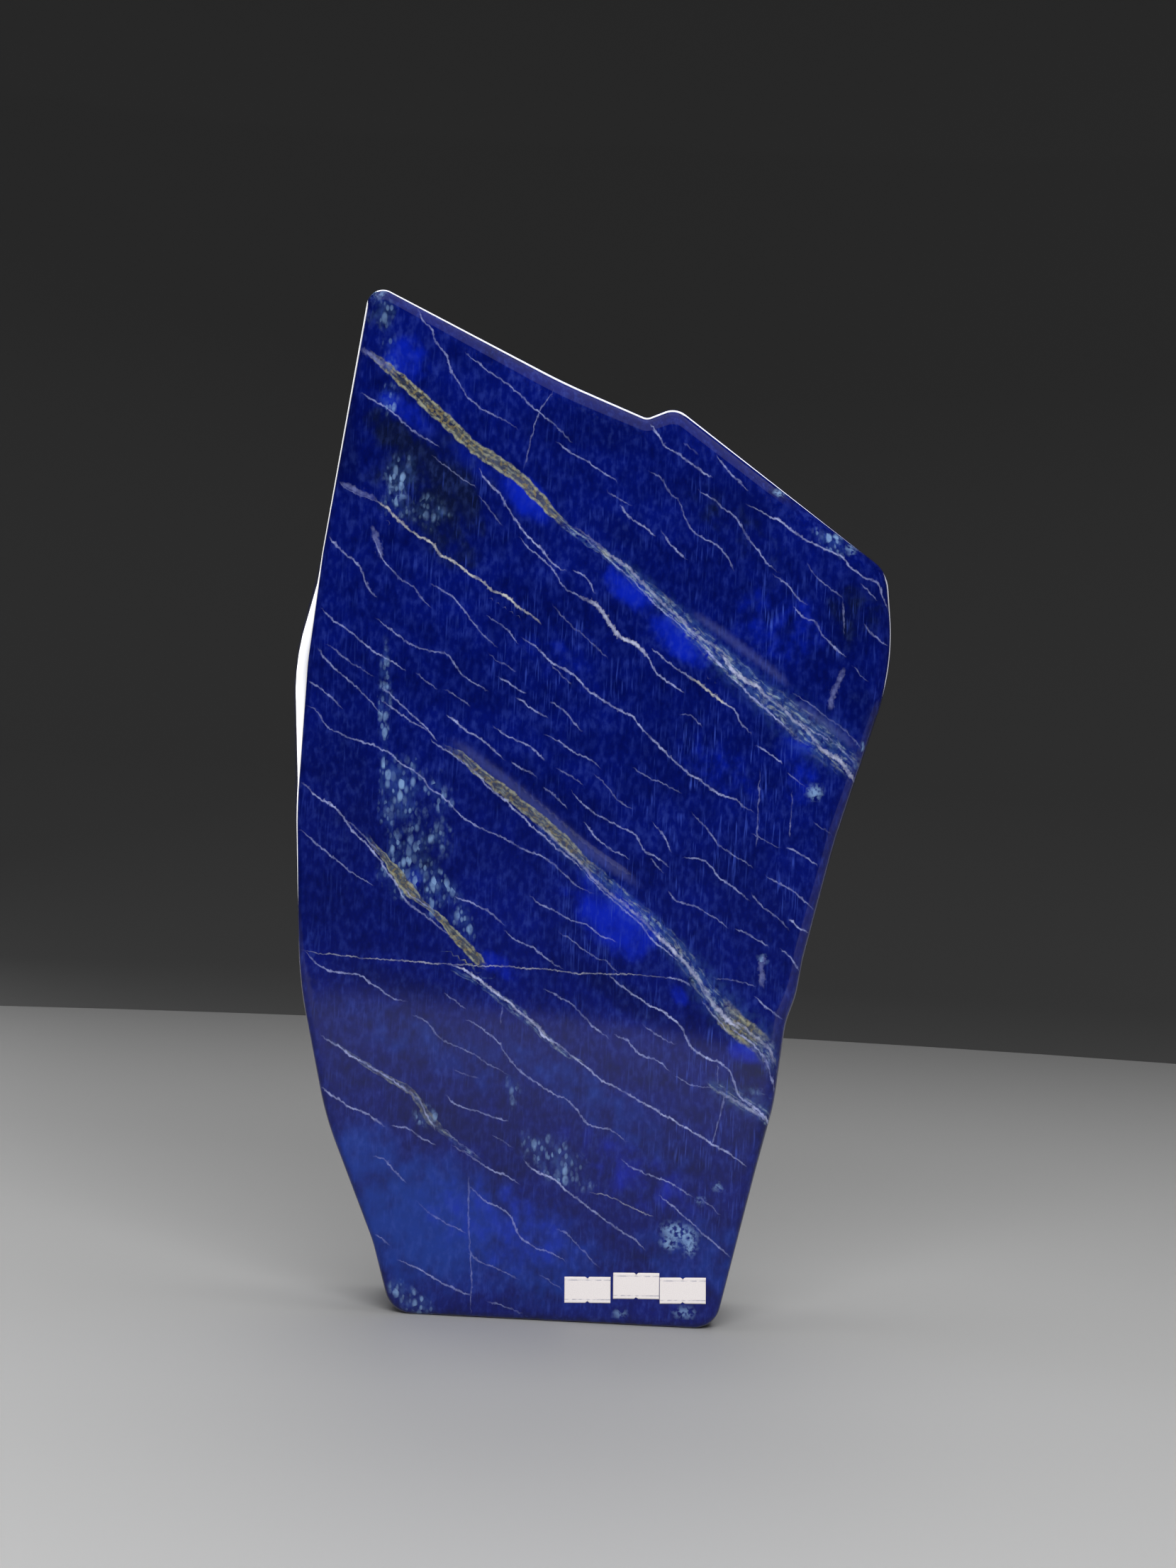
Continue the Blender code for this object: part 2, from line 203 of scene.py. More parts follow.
# Calcite threads on the front face, each as x and z in mm along its middle line
THREADS = (
    # From the tip down to the first band
    (PLAIN, ((-87.5, 452.5), (-85, 447.5), (-80.6, 443), (-78.8, 437.5), (-73.8, 432.5), (-71.3, 426),
             (-67.5, 420), (-63.8, 414.4), (-60, 411), (-55.6, 408), (-50, 405.6), (-40, 400.6))),
    (PLAIN, ((-64.4, 433), (-57.5, 428), (-50, 423), (-42.5, 418), (-36, 412.5), (-30, 408), (-25, 404),
             (-20, 400), (-15, 395))),
    (PLAIN, ((-21, 395), (-15, 390.6), (-8.8, 387.5), (-3.8, 384.4), (0, 382.5), (6, 378.8))),
    (FAINT, ((2.5, 373.8), (8.8, 370), (13, 368))),
    (BRIGHT, ((8.8, 367.5), (11, 364.4), (16, 361), (21, 357.5), (25, 354.4))),
    (PLAIN, ((27.5, 357.5), (32.5, 351), (38.8, 345))),
    (FAINT, ((-24, 418), (-31, 406), (-36, 382))),
    (PLAIN, ((-111, 413), (-104, 409), (-95, 404), (-90, 399.5), (-85, 396), (-75, 390))),
    (FAINT, ((-77.5, 386), (-70, 381), (-65, 377.5), (-57, 372.5))),
    (FAINT, ((-55.6, 368.8), (-52.5, 366), (-48.8, 361), (-45, 356))),
    (BRIGHT, ((-56, 381), (-52.5, 376), (-48.8, 372), (-45, 368.8), (-41, 362.5), (-37.5, 357.5),
              (-33.8, 353), (-28.8, 349), (-25, 345), (-20, 340), (-15.6, 337))),
    (PLAIN, ((-11, 337.5), (-7.5, 336), (-3.8, 332.5), (-1, 327.5))),
    (PLAIN, ((-36, 351), (-32.5, 347), (-26, 342.5), (-20, 337), (-16, 330.6), (-10, 327), (-5, 324.4))),
    (THICK, ((-8, 326), (-5, 324.4), (0, 322.5), (3.8, 317.5), (7.5, 312.5), (11, 308.8), (16, 307),
             (21, 303.8), (24.4, 300))),
    (BRIGHT, ((22, 303), (24.4, 300), (27.5, 294.4), (30.6, 291), (36, 288), (41, 285))),
    # Between the first and the second band, from the left
    (FAINT, ((-119, 372.5), (-115, 368.8), (-107.5, 366), (-100.6, 364))),
    (YELLOW, ((-102, 365), (-95, 360), (-90, 355), (-82.5, 350), (-75, 346), (-72.5, 342), (-65, 338.8),
              (-58.8, 334), (-52.5, 330.6), (-47.5, 327), (-41, 324), (-35, 320), (-28.8, 316), (-25, 312))),
    (BRIGHT, ((-122, 347.5), (-118, 342.5), (-113.8, 339), (-108.8, 336), (-106, 331), (-103.8, 326),
              (-100, 321))),
    (PLAIN, ((-102.5, 351), (-101, 345), (-98, 338.8), (-93.8, 333.8), (-88.8, 329), (-83.8, 327.5),
             (-80, 322.5), (-75, 317.5))),
    (PLAIN, ((-75.6, 328), (-70, 325.6), (-65, 322.5), (-60, 317.5), (-55, 311), (-50, 306), (-44, 301))),
    (PLAIN, ((-124, 315), (-118.8, 310), (-111, 305), (-105, 300.6), (-98.8, 295.6), (-91, 292.5),
             (-85, 288))),
    (FAINT, ((-80, 287.5), (-75, 284), (-70, 280.6))),
    (FAINT, ((-66, 280.6), (-60, 277.5), (-55, 273.8))),
    (PLAIN, ((-98.8, 311), (-93.8, 307.5), (-88.8, 304), (-82.5, 300.6), (-76, 298), (-67.5, 297.5),
             (-63.8, 293.8), (-60, 289), (-55, 285.6), (-47.5, 281))),
    (PLAIN, ((-48.8, 315), (-41, 310), (-35, 303.8))),
    (BRIGHT, ((-32.5, 306), (-25, 301), (-20, 296), (-12.5, 292), (-7.5, 289), (-1, 283), (5, 279.4),
              (11, 276), (18.8, 272.5), (23.8, 267), (30, 261), (36, 255.6), (43.8, 249.4), (50, 246),
              (55, 242.5), (61, 238.8), (67.5, 237.5), (70, 235), (75, 232.5))),
    (FAINT, ((-18.8, 293.8), (-10, 286))),
    (VIOLET, ((-20, 321), (-13.8, 315), (-6, 308.8), (0, 303.8), (6, 298.8))),
    (FAINT, ((-47.5, 298), (-41, 293.8), (-35, 290.6))),
    (PLAIN, ((-42.5, 288), (-36, 284), (-30, 280.6))),
    (PLAIN, ((-33.8, 278.8), (-28.8, 275), (-20, 270.6))),
    (PLAIN, ((-18.8, 278), (-12.5, 274), (-8.8, 270), (-3.8, 265))),
    (FAINT, ((-121, 298.8), (-113.8, 293.8), (-106, 289), (-98.8, 285))),
    (PLAIN, ((-125, 297), (-120, 290.6), (-110, 283), (-103.8, 277.5), (-95, 268.8))),
    (PLAIN, ((-128, 282), (-122.5, 278), (-116, 273.8), (-112.5, 270))),
    (PLAIN, ((-128.8, 271), (-124, 268.8), (-120, 262.5), (-111, 258), (-102.5, 255.6), (-95, 253),
             (-90, 250.6), (-85, 247), (-80, 244), (-75, 240.6), (-70, 235), (-65, 232.5), (-57.5, 225),
             (-51, 221), (-43.8, 217.5), (-36, 215), (-28.8, 211), (-20, 208), (-12.5, 203.8), (-8.8, 200),
             (-5, 197), (0, 193.8), (5, 192))),
    (PLAIN, ((-95, 280.6), (-88.8, 275.6), (-82.5, 270), (-75, 263.8), (-68.8, 257.5))),
    (PLAIN, ((-95, 275), (-88.8, 270.6), (-80, 265), (-73.8, 262))),
    (BRIGHT, ((-65, 269.4), (-60, 266), (-55, 262), (-50, 260), (-45, 256), (-38.8, 250.6))),
    (PLAIN, ((-35, 250), (-28.8, 246), (-23.8, 243.8))),
    (PLAIN, ((-20, 238.8), (-15, 235.6), (-8.8, 230))),
    (PLAIN, ((-43.8, 265), (-36, 260.6), (-27.5, 257.5), (-20, 251))),
    (PLAIN, ((-13.8, 247.5), (-6, 243.8), (-2.5, 241))),
    (PLAIN, ((-20, 262.5), (-13.8, 260), (-8.8, 256), (0, 252.5), (5, 248.8))),
    (FAINT, ((2.5, 246), (8.8, 240.6), (15, 233.8), (21, 230.6))),
    (PLAIN, ((-7.5, 237.5), (1, 230), (8.8, 225.6), (16, 222.5), (21, 220.6), (23.8, 217.5), (27.5, 212),
             (35, 208.8), (38.8, 205.6))),
    (FAINT, ((30, 208.8), (35.6, 203))),
    (PLAIN, ((-1, 224), (5, 217.5), (11, 213), (20, 208.8))),
    # Left of the third band and below the second
    (PLAIN, ((-128.8, 214.4), (-120, 207.5), (-110, 200), (-102.5, 195), (-95, 191))),
    (PLAIN, ((-57.5, 187.5), (-50, 185), (-41, 181), (-35, 176))),
    (PLAIN, ((-35, 173.8), (-28.8, 169.4), (-22.5, 167), (-17.5, 164), (-12.5, 160), (-7.5, 157.5))),
    (PLAIN, ((-23.8, 190), (-18.8, 186), (-10, 182.5), (-3.8, 179.4), (2.5, 177.5), (10, 173), (16, 171))),
    (FAINT, ((-10, 173.8), (-3.8, 170.6), (2.5, 166), (8.8, 162.5), (12.5, 162), (17.5, 157))),
    # Right of the notch, above the first band
    (BRIGHT, ((20.6, 405.6), (23.8, 400.6), (26.9, 396), (32.5, 393), (38.8, 388.8), (43.8, 385.6),
              (48.8, 382.5))),
    (FAINT, ((36, 397.5), (42.5, 392.5))),
    (PLAIN, ((51, 392.5), (56, 386), (60, 382.5), (66, 377.5))),
    (PLAIN, ((43.8, 376), (50, 373), (55, 368.8), (61, 365), (66, 357.5), (71, 351), (76, 345), (81, 341))),
    (PLAIN, ((78.8, 340), (85, 336), (91, 330), (95, 327))),
    (PLAIN, ((88.8, 326), (95, 320.6), (98.8, 319.4), (103.8, 312.5), (110, 307.5), (113.8, 304.4))),
    (FAINT, ((117.5, 300), (123.8, 294))),
    (BRIGHT, ((66, 371), (72.5, 368), (81, 364.4), (88.8, 358.8), (95, 355.6), (103.8, 352), (110, 349.4),
              (113.8, 345), (120, 341), (126, 338.8), (128.8, 332.5), (131.9, 327))),
    (PLAIN, ((21, 383.8), (27.5, 380), (30, 375), (35, 371), (37.5, 365), (40, 360), (43.8, 356),
             (52.5, 352), (57.5, 347.5), (61, 341))),
    (FAINT, ((93.8, 346), (100, 338.8), (111, 331))),
    (PLAIN, ((118.8, 338), (126, 331))),
    (PLAIN, ((121, 320), (126, 314.4), (132.5, 310.6))),
    (FAINT, ((111, 330), (111.8, 322), (112.5, 315))),
    # Right side, between the first and the second band
    (BRIGHT, ((26, 303.8), (32.5, 298.8), (40, 293.8), (45, 291.5))),
    (YELLOW, ((43, 292), (47.5, 290), (52.5, 286), (57.5, 282), (62, 279.5))),
    (PLAIN, ((60, 280.5), (65, 277.5), (67.5, 272.5), (72.5, 268))),
    (PLAIN, ((75, 262.5), (81, 259.4), (87.5, 255))),
    (FAINT, ((90, 250.6), (98.8, 245))),
    (FAINT, ((40, 275), (45, 274.4), (50, 270))),
    (FAINT, ((20, 250), (27.5, 245.6), (35, 242.5), (42.5, 239.4))),
    (PLAIN, ((30, 225), (35, 220), (38.8, 213))),
    (PLAIN, ((47.5, 230), (55, 223.8), (60, 217), (65, 213.8), (71, 210.6), (76, 207.5))),
    (PLAIN, ((45, 210.6), (52.5, 210), (57.5, 207), (61, 202), (65, 200), (71, 195.6), (75, 192.5))),
    (PLAIN, ((76, 195.6), (81, 190), (87.5, 186), (93.8, 180.6))),
    (PLAIN, ((82.5, 203.8), (88.8, 200.6), (95, 197.5), (105, 189.4))),
    (BRIGHT, ((93.8, 185), (98.8, 181), (103, 179.4))),
    (PLAIN, ((38.8, 194.4), (43.8, 190), (52.5, 188), (60, 183.8), (66, 180))),
    (PLAIN, ((70, 179.4), (77.5, 176), (85, 172))),
    (PLAIN, ((91, 170.6), (95, 168), (99.4, 162))),
    (FAINT, ((75, 222.5), (87.5, 217))),
    (PLAIN, ((91, 217), (97.5, 214.4), (105, 210))),
    (FAINT, ((102.5, 228.8), (111, 223.8))),
    (PLAIN, ((40, 156), (47.5, 154.4), (51, 152))),
    (FAINT, ((61, 157), (72.5, 155.6), (80, 153.8))),
    # Lower third
    (PLAIN, ((-124, 160), (-120, 155.6), (-113.8, 152), (-105, 150.6), (-98.8, 150), (-91, 145),
             (-83.8, 140.6), (-77.5, 139.4))),
    (FAINT, ((-75, 133.8), (-67.5, 130.6), (-62.5, 124.4), (-55, 120.6), (-46, 117), (-38.8, 113),
             (-30, 108.8))),
    (FAINT, ((-60, 143.8), (-55, 140.6), (-50, 137))),
    (PLAIN, ((-50, 132.5), (-42.5, 128.8), (-35, 123), (-31, 117.5), (-27, 113), (-22.5, 108.8),
             (-16, 105), (-8.8, 100.6), (-2.5, 98.8), (2.5, 93.8), (7.5, 87.5), (17.5, 86), (25, 81))),
    (BRIGHT, ((-115, 122.5), (-106, 117), (-98.8, 112.5), (-90, 108), (-82.5, 103.8), (-75, 99.4),
              (-70, 96), (-65, 87.5), (-61, 82))),
    (PLAIN, ((-52.5, 75), (-45, 71), (-38.8, 67), (-33.8, 64.4), (-27.5, 62.5), (-22.5, 59.4))),
    (FAINT, ((-57.5, 82.5), (-50, 76.5), (-41, 71))),
    (BRIGHT, ((-113.8, 98.8), (-106, 93.8), (-98.8, 90), (-91, 87), (-83.8, 82))),
    (PLAIN, ((-81, 83), (-73.8, 82), (-68.8, 78.8), (-61, 75))),
    (FAINT, ((-53.8, 109), (-42.5, 106))),
    (PLAIN, ((-57.5, 98), (-52.5, 93.8), (-45, 92), (-35, 88.8), (-28.8, 87.5))),
    (FAINT, ((-35, 81), (-26, 75.6))),
    (BRIGHT, ((-21, 70.6), (-16, 66), (-10, 63.8), (-6, 62), (-1, 57.5), (7.5, 52), (16, 46), (23.8, 41),
              (30, 37.5), (36, 32.5))),
    (PLAIN, ((-88.8, 68.8), (-82.5, 67), (-78.8, 62.5), (-73.8, 57.5))),
    (FAINT, ((-67.5, 48.8), (-60, 43), (-52.5, 39.4), (-45, 36))),
    (FAINT, ((-86, 33.8), (-78.8, 28.8))),
    (PLAIN, ((-75, 22.5), (-65, 18.8), (-57.5, 14.4), (-50, 11), (-41, 8))),
    (PLAIN, ((-45, 57.5), (-37.5, 51), (-30, 48), (-25, 43.8), (-21, 36), (-16, 32), (-10, 30),
             (-3.8, 28), (0, 26))),
    (FAINT, ((-43.8, 27), (-37.5, 23), (-30, 20.6), (-20, 16))),
    (FAINT, ((-5, 40), (1, 37.5), (6, 32.5), (16, 23))),
    (FAINT, ((-33.8, 5.6), (-26, 3.8), (-17.5, 1))),
    (FAINT, ((-11, 19), (-1, 13))),
    (PLAIN, ((-15, 148), (-7.5, 144.4), (-1, 140.6), (3.8, 135.6), (8.8, 131), (15, 127.5))),
    (PLAIN, ((17.5, 128.8), (23.8, 126), (28.8, 121), (37.5, 118), (42.5, 113.8))),
    (FAINT, ((46, 112), (53.8, 108), (62.5, 106.9))),
    (BRIGHT, ((14, 155.6), (20, 150.6), (28.8, 145), (38.8, 140), (45, 136), (48.8, 131), (52.5, 125),
              (58.8, 120.6), (65, 118.8), (70, 115), (72.5, 110), (75, 103.8), (80, 100), (88.8, 92.5))),
    (FAINT, ((30, 133.8), (40, 128), (45, 126))),
    (PLAIN, ((80, 148.8), (85, 145), (93, 139.4))),
    (BRIGHT, ((77.5, 102.5), (85, 97), (90, 92))),
    (PLAIN, ((23.8, 72.5), (31, 68), (38.8, 65.6), (47.5, 62.5), (56, 57.5))),
    (FAINT, ((60, 57.5), (68.8, 50))),
    (PLAIN, ((41, 57.5), (50, 51), (57.5, 45), (65, 38.8), (75, 30.6))),
    (CRACK, ((10, 57.5), (17.5, 56), (27.5, 52), (38.8, 47.5))),
    # The long level crack, and a fine upright one at the foot
    (CRACK, ((-126, 160.5), (-118, 159), (-108, 158.6), (-100, 158), (-84, 157.8), (-60, 157), (-40, 157.2),
             (-20, 157), (0, 156), (20, 156.4), (40, 156))),
    (FAINT, ((-45, 62), (-44, 40), (-42, 20), (-41, 0))),
    # The first band where it is pale: strands that part and meet again
    (PLAIN, ((-17, 358), (-12, 354.5), (-8.8, 353.5), (-2.5, 348.5), (3.8, 343.5), (10, 339), (16, 334),
             (25, 325), (30, 321), (36, 316.5), (44, 310.5), (50, 306))),
    (PALE, ((-12, 357), (-8.8, 355.5), (-2.5, 351), (3.8, 346), (10, 342), (16, 337.5), (25, 328.5),
            (33, 322), (40, 317), (43, 312.5), (47, 310), (52, 307.5), (57, 305), (60, 301))),
    (WHITE, ((47, 307.5), (48.5, 306), (52, 303), (55, 300), (58, 297.5), (60, 296))),
    (THICK, ((57, 303), (60, 300), (63, 296), (67, 293), (71, 290.5), (75, 289), (77, 287))),
    (BRIGHT, ((60, 294), (63, 292), (67, 289), (70, 286), (74, 282.5), (78, 279.5), (82, 276), (86, 273),
              (90, 270))),
    (PALE, ((73, 290), (78, 285.5), (83, 282), (87, 279), (91, 275), (96, 271.5), (101, 266.5), (105, 262))),
    (PLAIN, ((94, 274), (98, 271.5), (104, 268.5), (108, 265.5))),
    (THICK, ((102, 264), (105, 262), (109, 260), (113, 257.5), (116, 254), (119, 250.5), (120.5, 248))),
    (FAINT, ((90, 287), (97, 283.5), (103, 279), (109, 275), (114, 272), (119, 267.5), (123, 263))),
    (FAINT, ((98, 274), (106, 269), (112, 264), (118, 258), (121, 255))),
    # The second band: a thin strand, then wide and grey with a bright line in it
    (PLAIN, ((-72, 258), (-66, 254), (-62, 252), (-58, 249), (-54, 246.5), (-50, 243))),
    (BRIGHT, ((-58, 249), (-54, 246.5), (-50, 243), (-46, 239), (-43, 236.5), (-40, 234), (-36, 231),
              (-32.5, 228), (-25, 221.8), (-16, 214.5), (-7.5, 208), (0, 202))),
    (PALE, ((-22, 222), (-16, 217.5), (-7.5, 210.5), (0, 204), (7.5, 196.5), (13.8, 191.5), (21, 186.5),
            (27.5, 181), (35, 174.4))),
    (PLAIN, ((0, 202), (7.5, 195), (13.8, 189.5), (21, 184), (27.5, 178.5), (34, 171), (38, 169),
             (41.5, 166), (45, 163))),
    (THICK, ((32, 177), (37, 172.5), (41, 170), (44, 166), (48, 163), (51, 159), (54, 156), (57, 153))),
    (PALE, ((48, 162), (52, 157.5), (56, 152), (58, 148), (60, 145))),
    (THICK, ((56, 153), (59, 149), (61, 145), (64, 142), (67, 139), (70, 136.5), (74, 134))),
    (PLAIN, ((56, 147), (60, 141.5), (63, 138.5), (66.5, 135), (69, 132))),
    (PALE, ((68, 138), (72, 136.5), (76, 135), (80, 131.5), (84, 129), (87, 127), (89, 123), (90, 119))),
    (BRIGHT, ((70, 134), (75, 131), (80, 128), (83, 125), (86, 121.5), (88, 117), (90, 111), (91, 107))),
    (PALE, ((66, 106), (70, 103.5), (75, 101), (80, 98), (85, 96), (89, 93))),
    # The third band: two strands that meet, then one white strand that thins out
    (BRIGHT, ((-129, 236), (-122.5, 230), (-115, 226), (-112, 223), (-108, 219), (-105, 214.5), (-100, 211),
              (-97, 208), (-94, 204), (-91, 201), (-88, 196.5), (-85, 193), (-82, 188), (-80, 185),
              (-77, 182.5), (-72, 179.5), (-68, 176.5), (-63, 173), (-58, 169.5))),
    (FAINT, ((-110, 221), (-103, 216), (-99, 212.5), (-96, 209), (-92, 205))),
    (PLAIN, ((-80, 190), (-77, 187), (-72, 184), (-67, 181.5))),
    (WHITE, ((-60, 157), (-57, 156.5), (-52, 155), (-47, 152), (-43, 150), (-40, 147), (-35, 144),
             (-28, 139), (-20, 133), (-15, 127.5), (-7.5, 123), (-2.5, 119.4))),
    (PALE, ((-50, 154), (-45, 151), (-35, 144), (-28, 139), (-20, 133), (-12, 126))),
    (BRIGHT, ((-5, 121), (3.8, 115), (11, 109.4), (17.5, 106), (23.8, 103), (31, 99.4), (40, 94.4),
              (48.8, 90), (57.5, 85.6), (65, 81), (72.5, 77.5), (80, 71.9))),
    # Grey smears
    (SMEAR, ((-118, 372), (-112, 369), (-107, 367), (-102, 365.5))),
    (SMEAR, ((-103, 353), (-101, 348), (-99.5, 343), (-98, 339))),
    (SMEAR, ((-112, 433), (-107, 430), (-101, 426), (-96, 422))),
    (SMEAR, ((113, 299), (110, 291), (108, 286), (108.5, 280))),
    (SMEAR, ((83, 168), (82.5, 162), (83, 154))),
    # Upright streaks near the right edge
    (FAINT, ((77.5, 251), (77.2, 234), (77.5, 217))),
    (FAINT, ((92, 242), (92.3, 232), (92, 222))),
    (FAINT, ((65, 117), (65, 110))),
    (FAINT, ((68.8, 106), (66.5, 93), (63.8, 80))),
    (FAINT, ((-34, 140), (-34, 131))),
)

# Wide veins: gold and olive where they hold pyrite, else a bundle of pale strands
BANDS = (
    Band(0.95, ((-109, 431.5, 1.0, 0.7), (-100, 425, 1.9, 0.9), (-90, 417, 2.4, 1.0), (-78, 407, 2.7, 1.0),
                (-68, 399, 2.7, 0.85), (-60, 391.5, 2.7, 0.6), (-50, 385.5, 2.8, 0.5), (-40, 379.5, 2.7, 0.55),
                (-30, 371, 2.5, 0.6), (-22, 363, 2.0, 0.5), (-14, 356, 1.6, 0.25), (-2, 348.5, 1.8, 0.1),
                (10, 340, 2.2, 0.1), (16, 335.5, 2.5, 0.15), (30, 325, 3.0, 0.2), (40, 316, 3.6, 0.1),
                (50, 307.5, 4.2, 0.1), (64, 296, 4.8, 0.15), (76, 286, 5.2, 0.2), (90, 276.5, 6.2, 0.3),
                (104, 266, 7.0, 0.25), (118, 255, 6.5, 0.2), (123, 251, 6.0, 0.2))),
    Band(0.85, ((-67, 256, 1.0, 0.4), (-58, 251, 1.6, 0.45), (-48, 243.5, 2.1, 0.5), (-38, 236.5, 2.3, 0.5),
                (-29, 230, 2.4, 0.5), (-14, 219, 2.4, 0.5), (-1, 207.5, 2.2, 0.45), (8, 201, 1.8, 0.3),
                (19, 192.5, 1.8, 0.2), (28, 185, 2.2, 0.2), (38, 175.5, 2.8, 0.2), (46, 167, 3.2, 0.2),
                (52, 159, 3.6, 0.2), (58, 151, 4.0, 0.15), (66, 142, 4.6, 0.35), (74, 134.5, 5.0, 0.55),
                (82, 129, 5.0, 0.4), (88, 122, 4.2, 0.2), (91, 112, 3.0, 0.1))),
    Band(0.85, ((-100, 214, 0.9, 0.3), (-93, 207, 1.3, 0.4), (-88, 201, 1.8, 0.55), (-83, 195, 2.6, 0.6),
                (-78, 189, 2.4, 0.55), (-71, 183.5, 1.3, 0.4), (-63, 177, 1.5, 0.5), (-57, 170.5, 2.0, 0.6),
                (-51, 165, 2.5, 0.65), (-46, 160, 2.2, 0.6), (-42, 156.5, 1.2, 0.4))),
    Band(0.7, ((-58, 155, 0.8, 0.1), (-45, 149, 1.5, 0.15), (-35, 143, 1.9, 0.15), (-20, 132, 1.9, 0.2),
               (-8, 122, 1.5, 0.15), (4, 114.5, 1.0, 0.1))),
    Band(0.6, ((60, 110, 1.0, 0.0), (72, 104, 3.0, 0.1), (82, 99, 3.5, 0.2), (91, 92.5, 2.5, 0.2))),
    Band(0.6, ((-113, 122, 0.7, 0.3), (-100, 113.5, 1.0, 0.35), (-85, 105, 1.2, 0.4), (-72, 97.5, 1.5, 0.4),
               (-64, 87, 2.0, 0.4), (-55, 79, 1.2, 0.3), (-40, 69, 0.8, 0.2))),
)

# Grey blue haze round the bands, as x, z and half width
HAZES = (
    ((0, 350, 2.0), (16, 337, 3.5), (30, 325, 5.0), (45, 312, 6.5), (60, 299, 8.0), (75, 287, 9.0),
     (90, 277, 11.0), (105, 266, 12.0), (120, 255, 12.0)),
    ((-30, 232, 3.0), (-10, 214, 5.0), (10, 196, 5.0), (30, 180, 5.0), (45, 167, 6.0), (55, 156, 8.0),
     (62, 148, 9.0), (72, 139, 9.0), (84, 129, 9.0), (91, 118, 7.0)),
    ((60, 110, 3.0), (72, 104, 6.0), (82, 100, 6.0), (90, 94, 4.0)),
)

# Hollows that polishing left along the upper side of the softer bands, as x, z and half width. The front face dips
# along them, and a painted sheen, a soft grey reflection of the light, is laid into the colour along them too.
HOLLOWS = (
    ((42, 322, 1.0), (50, 317, 1.6), (58, 312, 1.9), (66, 306.5, 2.0), (74, 301, 1.9), (82, 295.5, 1.6),
     (90, 289.5, 1.0)),
    ((-66, 259.5, 1.2), (-56, 254, 2.0), (-46, 247, 2.4), (-36, 240, 2.6), (-26, 232.5, 2.6), (-16, 225, 2.6),
     (-8, 218.5, 2.6), (0, 212.5, 2.6), (10, 206, 2.4), (20, 200, 2.0), (28, 194, 1.2)),
    ((90, 284, 1.0), (98, 279, 1.6), (107, 273, 1.8), (115, 267.5, 1.6), (121, 263, 1.2)),
)

# Brighter royal blue, and darker navy
ROYAL_CLOUDS = (
    Cloud(-34, 369, 15, 8, -40, 1.0),
    Cloud(-60, 384, 16, 5, -38, 0.5),
    Cloud(-90, 405, 18, 6, -38, 0.6),
    Cloud(14, 330, 16, 7, -40, 0.9),
    Cloud(38, 309, 17, 8, -38, 1.0),
    Cloud(84, 318, 26, 18, -20, 0.35),
    Cloud(16, 180, 22, 14, -38, 0.9),
    Cloud(2, 192, 14, 9, -30, 0.5),
    Cloud(-92, 428, 12, 12, 0, 0.7),
    Cloud(92, 262, 10, 8, 0, 0.6),
    Cloud(96, 248, 8, 12, 0, 0.6),
    Cloud(60, 250, 26, 12, -35, 0.3),
    Cloud(-20, 300, 30, 12, -35, 0.2),
    Cloud(76, 124, 8, 5, -30, 0.8),
    Cloud(46, 148, 8, 4, -35, 0.7),
    Cloud(-36, 158, 10, 6, -30, 0.6),
    Cloud(-76, 195, 5, 6, 0, 0.6),
    Cloud(-30, 40, 44, 22, -20, 0.35),
    Cloud(30, 66, 40, 14, -30, 0.3),
)
NAVY_CLOUDS = (
    Cloud(-118, 392, 9, 40, 8, 0.8),
    Cloud(-92, 392, 22, 9, -35, 0.9),
    Cloud(-72, 366, 26, 16, -35, 0.8),
    Cloud(-112, 232, 20, 50, 0, 0.5),
    Cloud(-112, 175, 18, 26, 0, 0.3),
    Cloud(10, 356, 16, 6, -35, 0.5),
    Cloud(114, 322, 14, 20, 0, 0.7),
    Cloud(122, 285, 8, 18, 15, 0.6),
    Cloud(84, 264, 16, 5, -35, 0.6),
    Cloud(25, 262, 20, 12, -35, 0.3),
    Cloud(75, 195, 26, 18, -25, 0.3),
    Cloud(-40, 205, 22, 10, -35, 0.3),
    Cloud(0, 404, 26, 12, -28, 0.5),
    Cloud(60, 372, 30, 12, -35, 0.5),
    Cloud(84, 156, 12, 12, 0, 0.4),
    Cloud(52, 155, 3, 2, -30, 1.0),
    Cloud(20, 147, 30, 7, -30, 0.8),
    Cloud(-85, 148, 34, 7, -14, 0.6),
    Cloud(-62, 90, 30, 7, -28, 0.5),
    Cloud(78, 114, 7, 5, 0, 0.7),
)

# Dark grey green ground
DARK_CLOUDS = (
    Cloud(-76, 372, 32, 24, -36, 0.9),
    Cloud(-96, 396, 14, 8, -30, 0.8),
    Cloud(-66, 345, 14, 10, -30, 0.6),
    Cloud(-104, 450, 7, 9, 0, 0.7),
    Cloud(118, 325, 14, 16, 0, 0.5),
    Cloud(108, 268, 12, 5, -38, 0.5),
    Cloud(52, 155, 3, 2, -30, 0.8),
    Cloud(-76, 205, 14, 22, -20, 0.4),
    Cloud(60, 360, 34, 12, -35, 0.3),
    Cloud(78, 115, 8, 5, 0, 0.6),
    Cloud(76, 130, 6, 3, -30, 0.5),
)

